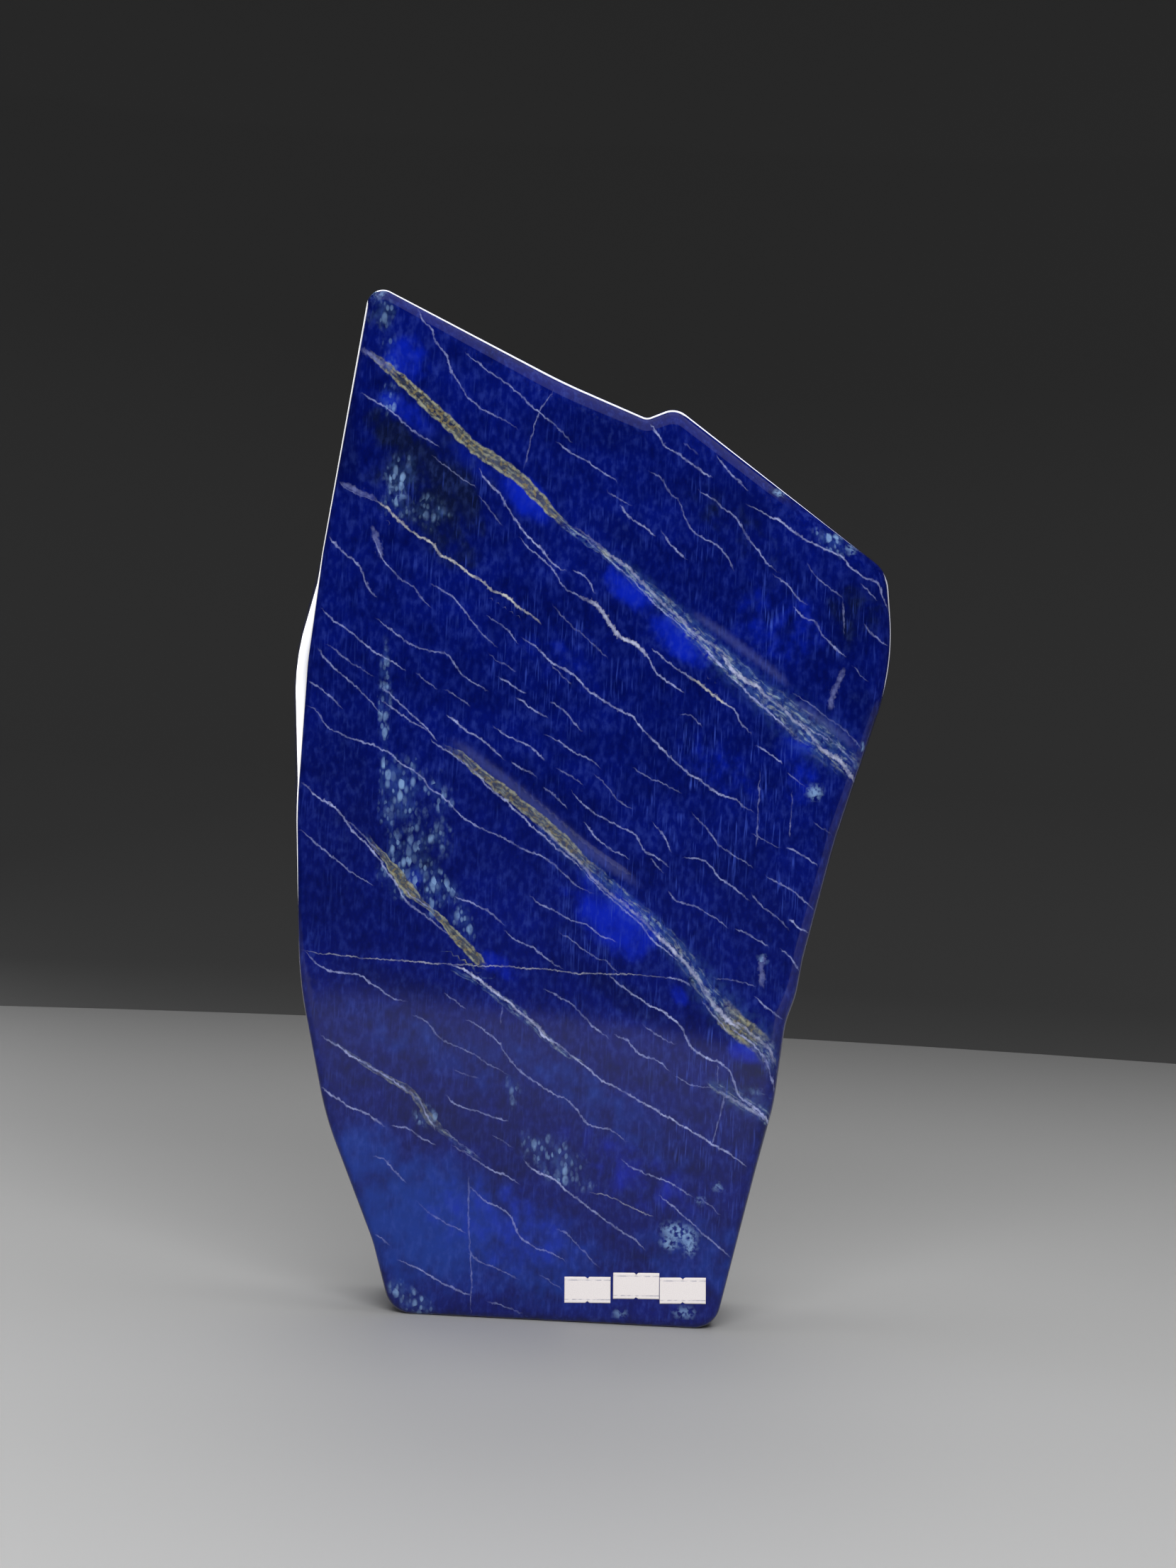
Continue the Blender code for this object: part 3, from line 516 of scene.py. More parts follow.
# Ground full of pale blue and grey specks, where diopside and calcite are ground fine
MOTTLED = (
    Cloud(-92, 371, 8, 15, -10, 0.7),
    Cloud(-80, 362, 14, 8, -30, 0.35),
    Cloud(-84, 234, 9, 18, 0, 0.9),
    Cloud(-82, 204, 10, 18, -10, 0.9),
    Cloud(-68, 190, 14, 10, -35, 0.8),
    Cloud(-54, 176, 12, 7, -40, 0.6),
    Cloud(-92.5, 238, 2.6, 17, 0, 1.0),
    Cloud(-93.5, 275, 3, 26, 2, 0.7),
    Cloud(-70, 222, 12, 24, 0, 0.4),
    Cloud(-104, 452, 7, 8, 0, 0.6),
    Cloud(-98, 416, 5, 14, 0, 0.6),
    Cloud(-100, 436, 4, 10, 0, 0.4),
    Cloud(-6, 71, 19, 9, -28, 0.9),
    Cloud(-27, 100, 4, 14, 0, 0.5),
    Cloud(-66, 88, 8, 5, -35, 0.7),
    Cloud(-68, 5, 13, 5, -35, 0.8),
    Cloud(104, 357, 9, 5, -38, 0.8),
    Cloud(122, 264, 2.4, 2.4, 0, 1.0),
    Cloud(121, 257, 2.4, 2.4, 0, 0.8),
    Cloud(80, 107, 4, 3, 0, 0.7),
)

# Lighter cobalt ground
COBALT = (
    Cloud(-62, 40, 44, 32, -10, 1.0),
    Cloud(-20, 30, 50, 24, -20, 0.6),
    Cloud(60, 30, 30, 22, -10, 0.5),
    Cloud(-92, 70, 18, 16, -30, 0.8),
    Cloud(10, 98, 60, 12, -30, 0.4),
    Cloud(-60, 118, 60, 14, -20, 0.3),
)

# Small white patches like snow
SNOW = (
    Cloud(51, 41, 8, 4, -10, 1.0),
    Cloud(47, 36, 4, 3, 0, 0.9),
    Cloud(56, 36, 3, 5, 0, 0.9),
    Cloud(55, 5, 5, 2.5, 0, 0.7),
    Cloud(26, 3, 3, 2, 0, 0.6),
    Cloud(67.5, 62.5, 1.6, 1.6, 0, 0.8),
    Cloud(60, 56, 1.4, 1.4, 0, 0.8),
    Cloud(80, 378, 2.6, 1.6, -35, 1.0),
    Cloud(114, 354, 2.0, 3.5, 0, 0.6),
    Cloud(102.5, 242.5, 3.4, 3.2, 0, 0.9),
    Cloud(82.5, 166, 1.8, 1.8, 0, 0.8),
    Cloud(-95, 371.5, 1.6, 1.6, 0, 0.5),
    Cloud(-90.5, 367.5, 2.2, 2.0, 0, 0.5),
    Cloud(-107, 459, 5, 3, 0, 0.6),
)

# Where the faint upright fibres show best
FIBROUS = (
    Cloud(90, 315, 34, 26, 0, 1.0),
    Cloud(60, 240, 44, 40, 0, 0.9),
    Cloud(94, 235, 12, 50, 0, 1.0),
    Cloud(-20, 300, 50, 30, -20, 0.7),
    Cloud(20, 185, 40, 30, -20, 0.8),
    Cloud(60, 95, 22, 60, 0, 0.8),
    Cloud(-70, 360, 30, 40, 0, 0.5),
    Cloud(30, 360, 40, 26, -20, 0.5),
)


def linear(hex_colour):
    """An sRGB hex colour as linear red, green, blue and full alpha."""
    channels = [int(hex_colour[i:i + 2], 16) / 255 for i in (1, 3, 5)]
    return tuple(c / 12.92 if c <= 0.04045 else ((c + 0.055) / 1.055) ** 2.4 for c in channels) + (1.0,)


def colour(label, hint, hex_colour):
    """A colour that the user can change, given as sRGB hex."""
    return FloatVectorProperty(
        name=label, description=hint, default=linear(hex_colour), size=4, subtype="COLOR", min=0.0, max=1.0
    )


def length(label, hint, metres):
    """A length that the user can change, given in metres."""
    return FloatProperty(name=label, description=hint, default=metres, unit="LENGTH", subtype="DISTANCE")


class StoneSettings(PropertyGroup):
    """Sizes and colours of the stone."""

    base_thickness: length("Base thickness", "Depth from front rim to back rim at the ground", 0.086)
    tip_thickness: length("Tip thickness", "Depth from front rim to back rim at the tip", 0.074)
    navy: colour("Navy", "Darkest ground of the lapis", "#01073e")
    deep: colour("Deep blue", "Usual ground of the lapis", "#041374")
    royal: colour("Royal blue", "Brightest ground of the lapis", "#0a22b4")
    cobalt: colour("Cobalt", "Lighter ground near the base", "#0e348c")
    dark: colour("Dark ground", "Grey green ground with much pyrite", "#0a1228")
    glint: colour("Glint", "Fine pale grain all over the ground", "#4860b4")
    fibre: colour("Fibre blue", "Faint upright fibres", "#3850b8")
    # Painted sheen: a soft grey reflection of the light in the polished hollows, painted into the colour
    haze: colour("Haze", "Grey blue haze round the bands", "#41619c")
    painted_sheen: colour("Bloom", "Soft grey in the polished hollows", "#5c66a4")
    calcite: colour("Calcite", "Cool threads and specks", "#9ca6dc")
    warm_calcite: colour("Warm calcite", "Threads stained yellow", "#c8c49c")
    strand: colour("Strand", "Pale strands in the wide bands", "#8ea6bc")
    speck: colour("Speck", "Pale blue specks", "#7fa0cc")
    pyrite: colour("Pyrite", "Gold crumbs in the bands", "#80734a")
    olive: colour("Olive", "Body of the gold bands", "#54584e")
    cream: colour("Cream", "Pale edges of the gold bands", "#9ea08a")
    polish: FloatProperty(name="Polish roughness", description="Roughness of the polish", default=0.06)


class LabelSettings(PropertyGroup):
    """Sizes and colours of the paper labels."""

    width: length("Width", "Width of a label", 0.0208)
    height: length("Height", "Height of a label", 0.0118)
    thickness: length("Thickness", "Thickness of the paper", 0.00012)
    paper: colour("Paper", "Uncoated label paper", "#efe9e8")
    rule: colour("Rule", "Lines printed near the long edges", "#a9a6b4")


class StudioSettings(PropertyGroup):
    """Floor, backdrop, lights and camera."""

    floor_radius: length("Floor radius", "Radius of the pale floor", 1.78)
    wall_radius: length("Wall radius", "Radius of the backdrop", 2.7)
    wall_height: length("Wall height", "Height of the backdrop", 3.4)
    floor: colour("Floor", "Pale floor", "#a9a9a9")
    wall: colour("Wall", "Dim backdrop", "#3c3c3c")
    camera_distance: length("Camera distance", "From the lens to the front rim", 1.5)
    camera_height: length("Camera height", "Height of the lens above the ground", 0.2437)
    lens: FloatProperty(name="Lens", description="Focal length in mm on a frame 36 mm high", default=76.2)
    roll: FloatProperty(
        name="Roll", description="How far the camera is turned", default=math.radians(2.8), subtype="ANGLE"
    )


def add_node(tree, kind, inputs=None, out=0, **settings):
    """Adds a node with its settings, and a value or a link for each input; returns one of its outputs."""
    made = tree.nodes.new(kind)
    for name, value in settings.items():
        setattr(made, name, value)
    for key, value in (inputs or {}).items():
        if isinstance(value, bpy.types.NodeSocket):
            tree.links.new(value, made.inputs[key])
        else:
            made.inputs[key].default_value = value
    return made.outputs if out is None else made.outputs[out]


def new_material(name):
    """An empty material, and its node tree."""
    made = bpy.data.materials.new(name)
    made.use_nodes = True
    made.node_tree.nodes.clear()
    return made, made.node_tree


def grain(tree, place, size, low, high, detail=2.0, stretch=(1, 1, 1)):
    """Noise with grains of a size in mm, drawn out along the axes, from 0 at low to 1 at high."""
    pitch = [1 / (size * share) for share in stretch]
    scaled = add_node(tree, "ShaderNodeVectorMath", {0: place, 1: pitch}, operation="MULTIPLY")
    noise = add_node(tree, "ShaderNodeTexNoise", {"Vector": scaled, "Scale": 1.0, "Detail": detail})
    return add_node(tree, "ShaderNodeMapRange", {"Value": noise, "From Min": low, "From Max": high})


def thickness(z, settings):
    """Depth from the front rim to the back rim at a height."""
    base, tip = settings.base_thickness / MM, settings.tip_thickness / MM
    return base + (tip - base) * z / HEIGHT


def dome(x, z):
    """1 at the middle of a face, falling to 0 at its edges."""
    across = np.clip(1 - (x / HALF_WIDTH) ** 2, 0, 1)
    up = np.clip(1 - (2 * z / HEIGHT - 1) ** 2, 0, 1)
    return across * up


def front_relief(x, z):
    """How far back the front face lies from a flat plane: a slight twist, and a crown towards the viewer."""
    return FRONT_TWIST * x / HALF_WIDTH * (2 * z / HEIGHT - 1) - FRONT_CROWN * dome(x, z)


def back_relief(x, z):
    """The same for the back face, which bows out further and has a slow ripple from hand polishing."""
    ripple = np.sin(x / RIPPLE_X + 1) * np.sin(z / RIPPLE_Z)
    return BACK_CROWN * dome(x, z) + BACK_RIPPLE * ripple


def rim_and_depth(part, share, front_rim, back_rim, thick):
    """How far a station's ring is drawn in for the rim, and its depth behind the front face."""
    angle = share * math.pi / 2
    if part == "front":
        return front_rim * (1 - math.sin(angle)), front_rim * (1 - math.cos(angle))
    if part == "flank":
        return 0 * front_rim, front_rim + (thick - back_rim - front_rim) * share
    return back_rim * (1 - math.cos(angle)), thick - back_rim * (1 - math.sin(angle))


def stations():
    """The rings from the front face's edge, over its rim, along the flank and round the back rim."""
    parts = (("front", FRONT_RIM_STEPS), ("flank", FLANK_STEPS), ("back", BACK_RIM_STEPS))
    for part, steps in parts:
        for step in range(steps):
            yield part, step / steps
    yield "back", 1.0


def left_of(direction):
    """The direction turned a quarter left, seen by the viewer."""
    return np.array((-direction[1], direction[0]))


def rounded_corners(places, turns, drawn_in):
    """Arc at each corner, as its start, its centre's side, its angle and its radius, of a closed outline."""
    arcs = []
    for i, place in enumerate(places):
        into = place - places[i - 1]
        out = places[(i + 1) % len(places)] - place
        length_in, length_out = np.linalg.norm(into), np.linalg.norm(out)
        into, out = into / length_in, out / length_out
        angle = math.atan2(into[0] * out[1] - into[1] * out[0], into @ out)
        side = math.copysign(1, angle)
        radius = max(turns[i] + side * drawn_in[i], SHARPEST_TURN)
        reach = radius * math.tan(abs(angle) / 2)
        longest = 0.48 * min(length_in, length_out)
        if reach > longest:
            radius *= longest / reach
            reach = longest
        arcs.append((place - into * reach, side * left_of(into), angle, radius))
    return arcs


def arc_point(arc, share):
    start, side, angle, radius = arc
    turned = share * angle
    c, s = math.cos(turned), math.sin(turned)
    spoke = -radius * np.array((c * side[0] - s * side[1], s * side[0] + c * side[1]))
    return start + radius * side + spoke


def corner_places(part, share, settings):
    """Where each corner lies in a station's ring, and how far the rim draws it in."""
    front = np.array([(corner.x, corner.z) for corner in CORNERS])
    places, drawn_in = [], []
    for i, corner in enumerate(CORNERS):
        into = front[i] - front[i - 1]
        out = front[(i + 1) % len(front)] - front[i]
        into, out = into / np.linalg.norm(into), out / np.linalg.norm(out)
        outward = left_of(into) + left_of(out)
        outward = outward / np.linalg.norm(outward)
        slant = outward @ left_of(into)
        thick = thickness(corner.z, settings)
        rim, depth = rim_and_depth(part, share, corner.front_rim, corner.back_rim, thick)
        v = depth / thick
        swell = corner.swell * 4 * v * (1 - v) + corner.back * v * (2 * v - 1)
        places.append(front[i] + outward * (swell - rim) / slant)
        drawn_in.append(rim)
    return places, drawn_in


def step_counts(settings):
    """How many steps each corner's arc and each run after it get, from the outline's widest ring."""
    places, drawn_in = corner_places("flank", 0.0, settings)
    arcs = rounded_corners(places, [corner.turn for corner in CORNERS], drawn_in)
    counts = []
    for i, arc in enumerate(arcs):
        run = np.linalg.norm(arcs[(i + 1) % len(arcs)][0] - arc_point(arc, 1.0))
        arc_length = abs(arc[2]) * arc[3]
        arc_steps = max(1, round(arc_length / OUTLINE_STEP), math.ceil(abs(arc[2]) / TURN_STEP))
        counts.append((arc_steps, max(1, round(run / OUTLINE_STEP))))
    return counts


def ring(part, share, counts, settings):
    """A station's ring as an array of x, y and z."""
    places, drawn_in = corner_places(part, share, settings)
    arcs = rounded_corners(places, [corner.turn for corner in CORNERS], drawn_in)
    flat, rims = [], []
    for i, (arc_steps, run_steps) in enumerate(counts):
        here, after = CORNERS[i], CORNERS[(i + 1) % len(CORNERS)]
        for step in range(arc_steps):
            flat.append(arc_point(arcs[i], step / arc_steps))
            rims.append((here.front_rim, here.back_rim))
        start, end = arc_point(arcs[i], 1.0), arcs[(i + 1) % len(arcs)][0]
        for step in range(run_steps):
            t = step / run_steps
            flat.append(start + (end - start) * t)
            rims.append(
                (
                    here.front_rim + (after.front_rim - here.front_rim) * t,
                    here.back_rim + (after.back_rim - here.back_rim) * t,
                )
            )
    flat, rims = np.array(flat), np.array(rims)
    x, z = flat[:, 0], flat[:, 1]
    thick = thickness(z, settings)
    depth = rim_and_depth(part, share, rims[:, 0], rims[:, 1], thick)[1]
    v = depth / thick
    y = depth + front_relief(x, z) * (1 - v) + back_relief(x, z) * v
    return np.column_stack((x, y, z))


def distance_inside(points, outline):
    """Distance of each point from a closed outline, less than 0 outside it."""
    ends = np.roll(outline, -1, axis=0)
    nearest = np.full(len(points), np.inf)
    inside = np.zeros(len(points), bool)
    for start, end in zip(outline, ends):
        along = end - start
        share = np.clip((points - start) @ along / (along @ along), 0, 1)
        gap = points - (start + share[:, None] * along)
        nearest = np.minimum(nearest, np.hypot(gap[:, 0], gap[:, 1]))
        crosses = (start[1] > points[:, 1]) != (end[1] > points[:, 1])
        if start[1] != end[1]:
            at = start[0] + (points[:, 1] - start[1]) / (end[1] - start[1]) * along[0]
            inside ^= crosses & (points[:, 0] < at)
    return np.where(inside, nearest, -nearest)


def face_points(outline):
    """Evenly spread points inside a face's edge, in rows that are offset by half a step."""
    low, high = outline.min(0), outline.max(0)
    row_step = FACE_STEP * math.sqrt(3) / 2
    rows = []
    for row, z in enumerate(np.arange(low[1], high[1], row_step)):
        x = np.arange(low[0] + (row % 2) * FACE_STEP / 2, high[0], FACE_STEP)
        rows.append(np.column_stack((x, np.full(len(x), z))))
    points = np.concatenate(rows)
    return points[distance_inside(points, outline) > 0.6 * FACE_STEP]


def filled_face(edge, first, spare, height_at):
    """New points inside a ring of points, and triangles between them and the ring.

    The ring's points are numbered from first on, and the new ones from spare on.
    """
    outline = edge[:, [0, 2]]
    inner = face_points(outline)
    flat = [Vector(point) for point in np.concatenate((outline, inner))]
    found = delaunay_2d_cdt(flat, [], [list(range(len(edge)))], 1, 1e-4)
    faces, origins = found[2], found[3]
    number = list(range(first, first + len(edge))) + list(range(spare, spare + len(inner)))
    triangles = [[number[origins[i][0]] for i in face] for face in faces]
    points = np.column_stack((inner[:, 0], height_at(inner[:, 0], inner[:, 1]), inner[:, 1]))
    return points, triangles


def slow_wave(points, pitch, seed):
    """A slow wandering field between about -1 and 1, with swells of about a pitch in mm."""
    generator = np.random.default_rng(seed)
    count = 8
    total = np.zeros(len(points))
    for _ in range(count):
        direction = generator.normal(size=3)
        direction /= np.linalg.norm(direction)
        turns = points @ direction / (pitch * generator.uniform(0.6, 1.5)) + generator.uniform()
        total += np.sin(2 * math.pi * turns)
    return total / (1.5 * math.sqrt(count / 2))


def smooth_line(points, step):
    """Points a step apart along a smooth curve through the given ones, with every column carried along."""
    given = np.array(points, float)
    padded = np.vstack((2 * given[0] - given[1], given, 2 * given[-1] - given[-2]))
    line = []
    for before, start, end, after in zip(padded, padded[1:], padded[2:], padded[3:]):
        pieces = max(1, round(np.linalg.norm(end[:2] - start[:2]) / step))
        for t in np.arange(pieces) / pieces:
            line.append(
                0.5 * (2 * start + (end - before) * t + (2 * before - 5 * start + 4 * end - after) * t ** 2
                       + (3 * start - before - 3 * end + after) * t ** 3)
            )
    line.append(given[-1])
    return np.array(line)


def nearest_on(line, places, reach):
    """For places within reach of a line: their numbers, signed distance, share of its length, and extra columns."""
    path = line[:, :2]
    low, high = path.min(0) - reach, path.max(0) + reach
    near = np.flatnonzero(np.all((places > low) & (places < high), axis=1))
    here = places[near]
    best = np.full(len(near), np.inf)
    signed, share = np.zeros(len(near)), np.zeros(len(near))
    extra = np.zeros((len(near), line.shape[1] - 2))
    lengths = np.linalg.norm(np.diff(path, axis=0), axis=1)
    run = np.concatenate(([0], np.cumsum(lengths))) / lengths.sum()
    for i, start in enumerate(path[:-1]):
        along = path[i + 1] - start
        offset = here - start
        t = np.clip(offset @ along / (along @ along), 0, 1)
        gap = offset - t[:, None] * along
        distance = np.hypot(gap[:, 0], gap[:, 1])
        closer = distance < best
        side = np.sign(along[0] * offset[:, 1] - along[1] * offset[:, 0])
        best = np.where(closer, distance, best)
        signed = np.where(closer, side * distance, signed)
        share = np.where(closer, run[i] + (run[i + 1] - run[i]) * t, share)
        between = line[i, 2:] + (line[i + 1, 2:] - line[i, 2:]) * t[:, None]
        extra = np.where(closer[:, None], between, extra)
    kept = best < reach
    return near[kept], signed[kept], share[kept], extra[kept]


def fade(value, full, none):
    """1 up to full, falling smoothly to 0 at none."""
    t = np.clip((none - value) / (none - full), 0, 1)
    return t * t * (3 - 2 * t)


def sheet_places(points, settings):
    """Where the sheet that passes through each point meets the front face, as x and z."""
    x, y, z = points.T
    v = np.clip(y / (settings.base_thickness / MM), 0, 1)
    middle = HEIGHT / 2
    bend_x = SHEET_BEND * v * slow_wave(points, SHEET_BEND_LENGTH, 11)
    bend_z = SHEET_BEND * v * slow_wave(points, SHEET_BEND_LENGTH, 12)
    across = x * (1 - SHEET_SPREAD * v) + SHEET_LEAN_X * v + bend_x
    up = middle + (z - middle) * (1 - SHEET_SPREAD * v) + SHEET_LEAN_Z * v + bend_z
    return np.column_stack((across, up - READING_RISE))


def share_out(lines, spacing):
    """Groups of lines in which no two come closer than the spacing, as lists of their numbers."""
    groups = []
    for number, line in enumerate(lines):
        for group in groups:
            gaps = [np.linalg.norm(line[:, None, :2] - lines[other][None, :, :2], axis=2).min() for other in group]
            if min(gaps) > spacing:
                group.append(number)
                break
        else:
            groups.append([number])
    return groups


def group_field(places, lines, group, strengths_at, sure, reach):
    """Distance, half width and strength at each place for a group of lines that keep clear of each other.

    The distance keeps its sign a little beyond the reach, so that no line shows where a group's field ends.
    """
    field = np.tile((reach, 1.0, 0.0), (len(places), 1))
    for number in group:
        near, signed, share, extra = nearest_on(lines[number], places, reach + BEYOND_REACH)
        strength, half = strengths_at(number, share, extra)
        strength = strength * fade(np.abs(signed), sure, reach)
        closer = np.abs(signed) < np.abs(field[near, 0]) + BEYOND_REACH * (field[near, 2] == 0)
        kept = near[closer]
        field[kept] = np.column_stack((signed, half, strength))[closer]
    return field


def vein_fields(places, liveliness):
    """Fields of the threads in each group, and how yellow the nearest thread is."""
    lines = [smooth_line(points, VEIN_STEP) for look, points in THREADS]

    def strengths_at(number, share, extra):
        look = THREADS[number][0]
        taper = np.clip(np.minimum(share, 1 - share) / 0.14, 0, 1)
        return look.strength * np.sqrt(taper), look.width / 2 * (0.6 + 0.4 * taper)

    fields = []
    for group in share_out(lines, 2 * VEIN_REACH + BEYOND_REACH):
        field = group_field(places, lines, group, strengths_at, VEIN_SURE, VEIN_REACH)
        field[:, 2] *= liveliness
        fields.append(field)

    warmth = np.zeros(len(places))
    closest = np.full(len(places), VEIN_REACH)
    for line, (look, points) in zip(lines, THREADS):
        near, signed, share, extra = nearest_on(line, places, VEIN_REACH)
        closer = np.abs(signed) < closest[near]
        warmth[near[closer]] = look.warmth
        closest[near[closer]] = np.abs(signed)[closer]
    return fields, warmth


def band_fields(places, liveliness):
    """Fields of the wide bands: distance, way along and half width, then strength, gold and nothing."""
    lines = [smooth_line(band.line, VEIN_STEP) for band in BANDS]
    course = np.tile((BAND_REACH, 0.0, 1.0), (len(places), 1))
    nature = np.zeros((len(places), 3))
    closest = np.full(len(places), np.inf)
    for line, band in zip(lines, BANDS):
        near, signed, share, extra = nearest_on(line, places, BAND_REACH + BEYOND_REACH)
        taper = np.clip(np.minimum(share, 1 - share) / 0.06, 0, 1)
        strength = band.strength * taper * fade(np.abs(signed), BAND_SURE, BAND_REACH)
        run = np.linalg.norm(np.diff(line[:, :2], axis=0), axis=1).sum()
        closer = np.abs(signed) < closest[near]
        kept = near[closer]
        course[kept] = np.column_stack((signed, share * run, extra[:, 0]))[closer]
        nature[kept] = np.column_stack((strength, extra[:, 1], 0 * share))[closer]
        closest[kept] = np.abs(signed)[closer]
    nature[:, 0] *= liveliness
    return course, nature


def soft_band_field(places, bands):
    """Soft wide bands, each strongest along its line of x, z and half width, and fading at both its ends."""
    total = np.zeros(len(places))
    for points in bands:
        line = smooth_line(points, VEIN_STEP)
        near, signed, share, extra = nearest_on(line, places, 1.4 * line[:, 2].max())
        taper = fade(1 - np.minimum(share, 1 - share) / 0.12, 0.0, 1.0)
        profile = fade(np.abs(signed) / extra[:, 0], 0.25, 1.3)
        total[near] = np.maximum(total[near], taper * profile)
    return total


def cloud_field(places, clouds):
    """The soft patches at each place, the strongest where they meet."""
    total = np.zeros(len(places))
    for cloud in clouds:
        lean = math.radians(cloud.lean)
        offset = places - (cloud.x, cloud.z)
        along = (offset[:, 0] * math.cos(lean) + offset[:, 1] * math.sin(lean)) / cloud.half_width
        across = (offset[:, 1] * math.cos(lean) - offset[:, 0] * math.sin(lean)) / cloud.half_height
        total = np.maximum(total, cloud.amount * fade(np.hypot(along, across), 0.35, 1.35))
    return total


def hollow_depth(x, z):
    """How deep the hollows along the bands are on the front face."""
    return HOLLOW_DEPTH * soft_band_field(np.column_stack((x, z - READING_RISE)), HOLLOWS)


def polished_front(x, z):
    """Depth of the front face with the marks of hand polishing."""
    points = np.column_stack((x, np.zeros(len(x)), z))
    return front_relief(x, z) + POLISH_WAVE * slow_wave(points, POLISH_WAVE_LENGTH, 5) + hollow_depth(x, z)


def set_attribute(mesh, name, values):
    """Stores one number or three for each vertex, under a name that the material reads."""
    values = np.asarray(values, np.float32)
    kind, field = ("FLOAT", "value") if values.ndim == 1 else ("FLOAT_VECTOR", "vector")
    made = mesh.attributes.new(name, kind, "POINT")
    made.data.foreach_set(field, values.ravel())


def drawing_to_frame():
    """How far the drawing is moved to lie in the frame, in mm, read from where the middle label is."""
    label = LABELS[1]
    low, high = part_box(label.name)
    middle = (low + high) / 2 / MM
    depth = front_relief(label.x, label.z) - LABEL_GAP - LABEL_SOLID_THICKNESS / 2
    return Vector((middle.x - label.x, middle.y - depth, 0.0))


def slab_points_and_faces(settings):
    """The stone's points in mm in the drawing, and its faces."""
    counts = step_counts(settings)
    rings = [ring(part, share, counts, settings) for part, share in stations()]
    around = len(rings[0])
    points = np.concatenate(rings)
    faces = []
    for level in range(len(rings) - 1):
        near, far = level * around, (level + 1) * around
        for i in range(around):
            j = (i + 1) % around
            faces.append((near + i, near + j, far + j, far + i))

    front, front_faces = filled_face(rings[0], 0, len(points), polished_front)
    points = np.concatenate((points, front))
    back, back_faces = filled_face(
        rings[-1],
        (len(rings) - 1) * around,
        len(points),
        lambda x, z: thickness(z, settings) + back_relief(x, z),
    )
    points = np.concatenate((points, back))
    return points, faces + front_faces + back_faces


def new_piece(name, points, faces, finish, node):
    """A smooth mesh object in the frame, which rides on the body and stands for its solid."""
    mesh = bpy.data.meshes.new(name)
    mesh.from_pydata(points.tolist(), [], faces)
    bm = bmesh.new()
    bm.from_mesh(mesh)
    bmesh.ops.recalc_face_normals(bm, faces=bm.faces)
    bm.to_mesh(mesh)
    bm.free()
    mesh.shade_smooth()
    mesh.materials.append(finish)
    piece = bpy.data.objects.new(name, mesh)
    bpy.context.scene.collection.objects.link(piece)
    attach(piece, "root")
    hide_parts(node)
    return piece


def line_mask(tree, layer, wander, raggedness):
    """How much of a group's threads shows at a point, from 0 to 1."""
    field = add_node(tree, "ShaderNodeAttribute", out=1, attribute_name=layer)
    distance, half, strength = add_node(tree, "ShaderNodeSeparateXYZ", {0: field}, out=None)
    moved = add_node(tree, "ShaderNodeMath", {0: distance, 1: wander}, operation="ADD")
    away = add_node(tree, "ShaderNodeMath", {0: moved}, operation="ABSOLUTE")
    share = add_node(tree, "ShaderNodeMath", {0: away, 1: half}, operation="DIVIDE")
    share = add_node(tree, "ShaderNodeMath", {0: share, 1: raggedness}, operation="MULTIPLY")
    return product(tree, spread(tree, share, 1.35, 0.2), strength)


def strongest(tree, masks):
    """The greatest of several masks."""
    best = masks[0]
    for mask in masks[1:]:
        best = add_node(tree, "ShaderNodeMath", {0: best, 1: mask}, operation="MAXIMUM")
    return best


def product(tree, *factors):
    """Several masks multiplied."""
    total = factors[0]
    for factor in factors[1:]:
        total = add_node(tree, "ShaderNodeMath", {0: total, 1: factor}, operation="MULTIPLY")
    return total


def laid_over(tree, below, above, amount, share=1.0):
    """A colour laid over another by a mask, at most by a share."""
    scaled = add_node(tree, "ShaderNodeMath", {0: amount, 1: share}, operation="MULTIPLY", use_clamp=True)
    return add_node(tree, "ShaderNodeMix", {0: scaled, 6: below, 7: above}, out=2, data_type="RGBA")


def spread(tree, value, low, high, to_low=0.0, to_high=1.0):
    """A value carried smoothly from one range to another."""
    return add_node(
        tree, "ShaderNodeMapRange",
        {"Value": value, "From Min": low, "From Max": high, "To Min": to_low, "To Max": to_high},
        interpolation_type="SMOOTHSTEP",
    )


def weighed(tree, first, second, weight):
    """Two values, the second with a weight and the first with the rest."""
    part = add_node(tree, "ShaderNodeMath", {0: second, 1: weight}, operation="MULTIPLY")
    return add_node(tree, "ShaderNodeMath", {0: first, 1: 1 - weight, 2: part}, operation="MULTIPLY_ADD")


def blotched(tree, amount, noise, share=0.7):
    """A soft patch broken up by noise, more so towards its edge."""
    shifted = add_node(tree, "ShaderNodeMath", {0: noise, 1: share, 2: -share / 2}, operation="MULTIPLY_ADD")
    shifted = add_node(tree, "ShaderNodeMath", {0: shifted, 1: amount}, operation="ADD")
    return product(tree, spread(tree, shifted, 0.0, 1.15), spread(tree, amount, 0.0, 0.3))


def cells(tree, mm, size, stretch, low, high):
    """Rounded grains of a size in mm, some bright and some dark, parted by thin dark seams."""
    pitch = [1 / (size * share) for share in stretch]
    scaled = add_node(tree, "ShaderNodeVectorMath", {0: mm, 1: pitch}, operation="MULTIPLY")
    found = add_node(tree, "ShaderNodeTexVoronoi", {"Vector": scaled, "Scale": 1.0}, out=None)
    lot = add_node(tree, "ShaderNodeSeparateXYZ", {0: found["Color"]})
    return product(tree, spread(tree, found["Distance"], 0.62, 0.30), spread(tree, lot, low, high))


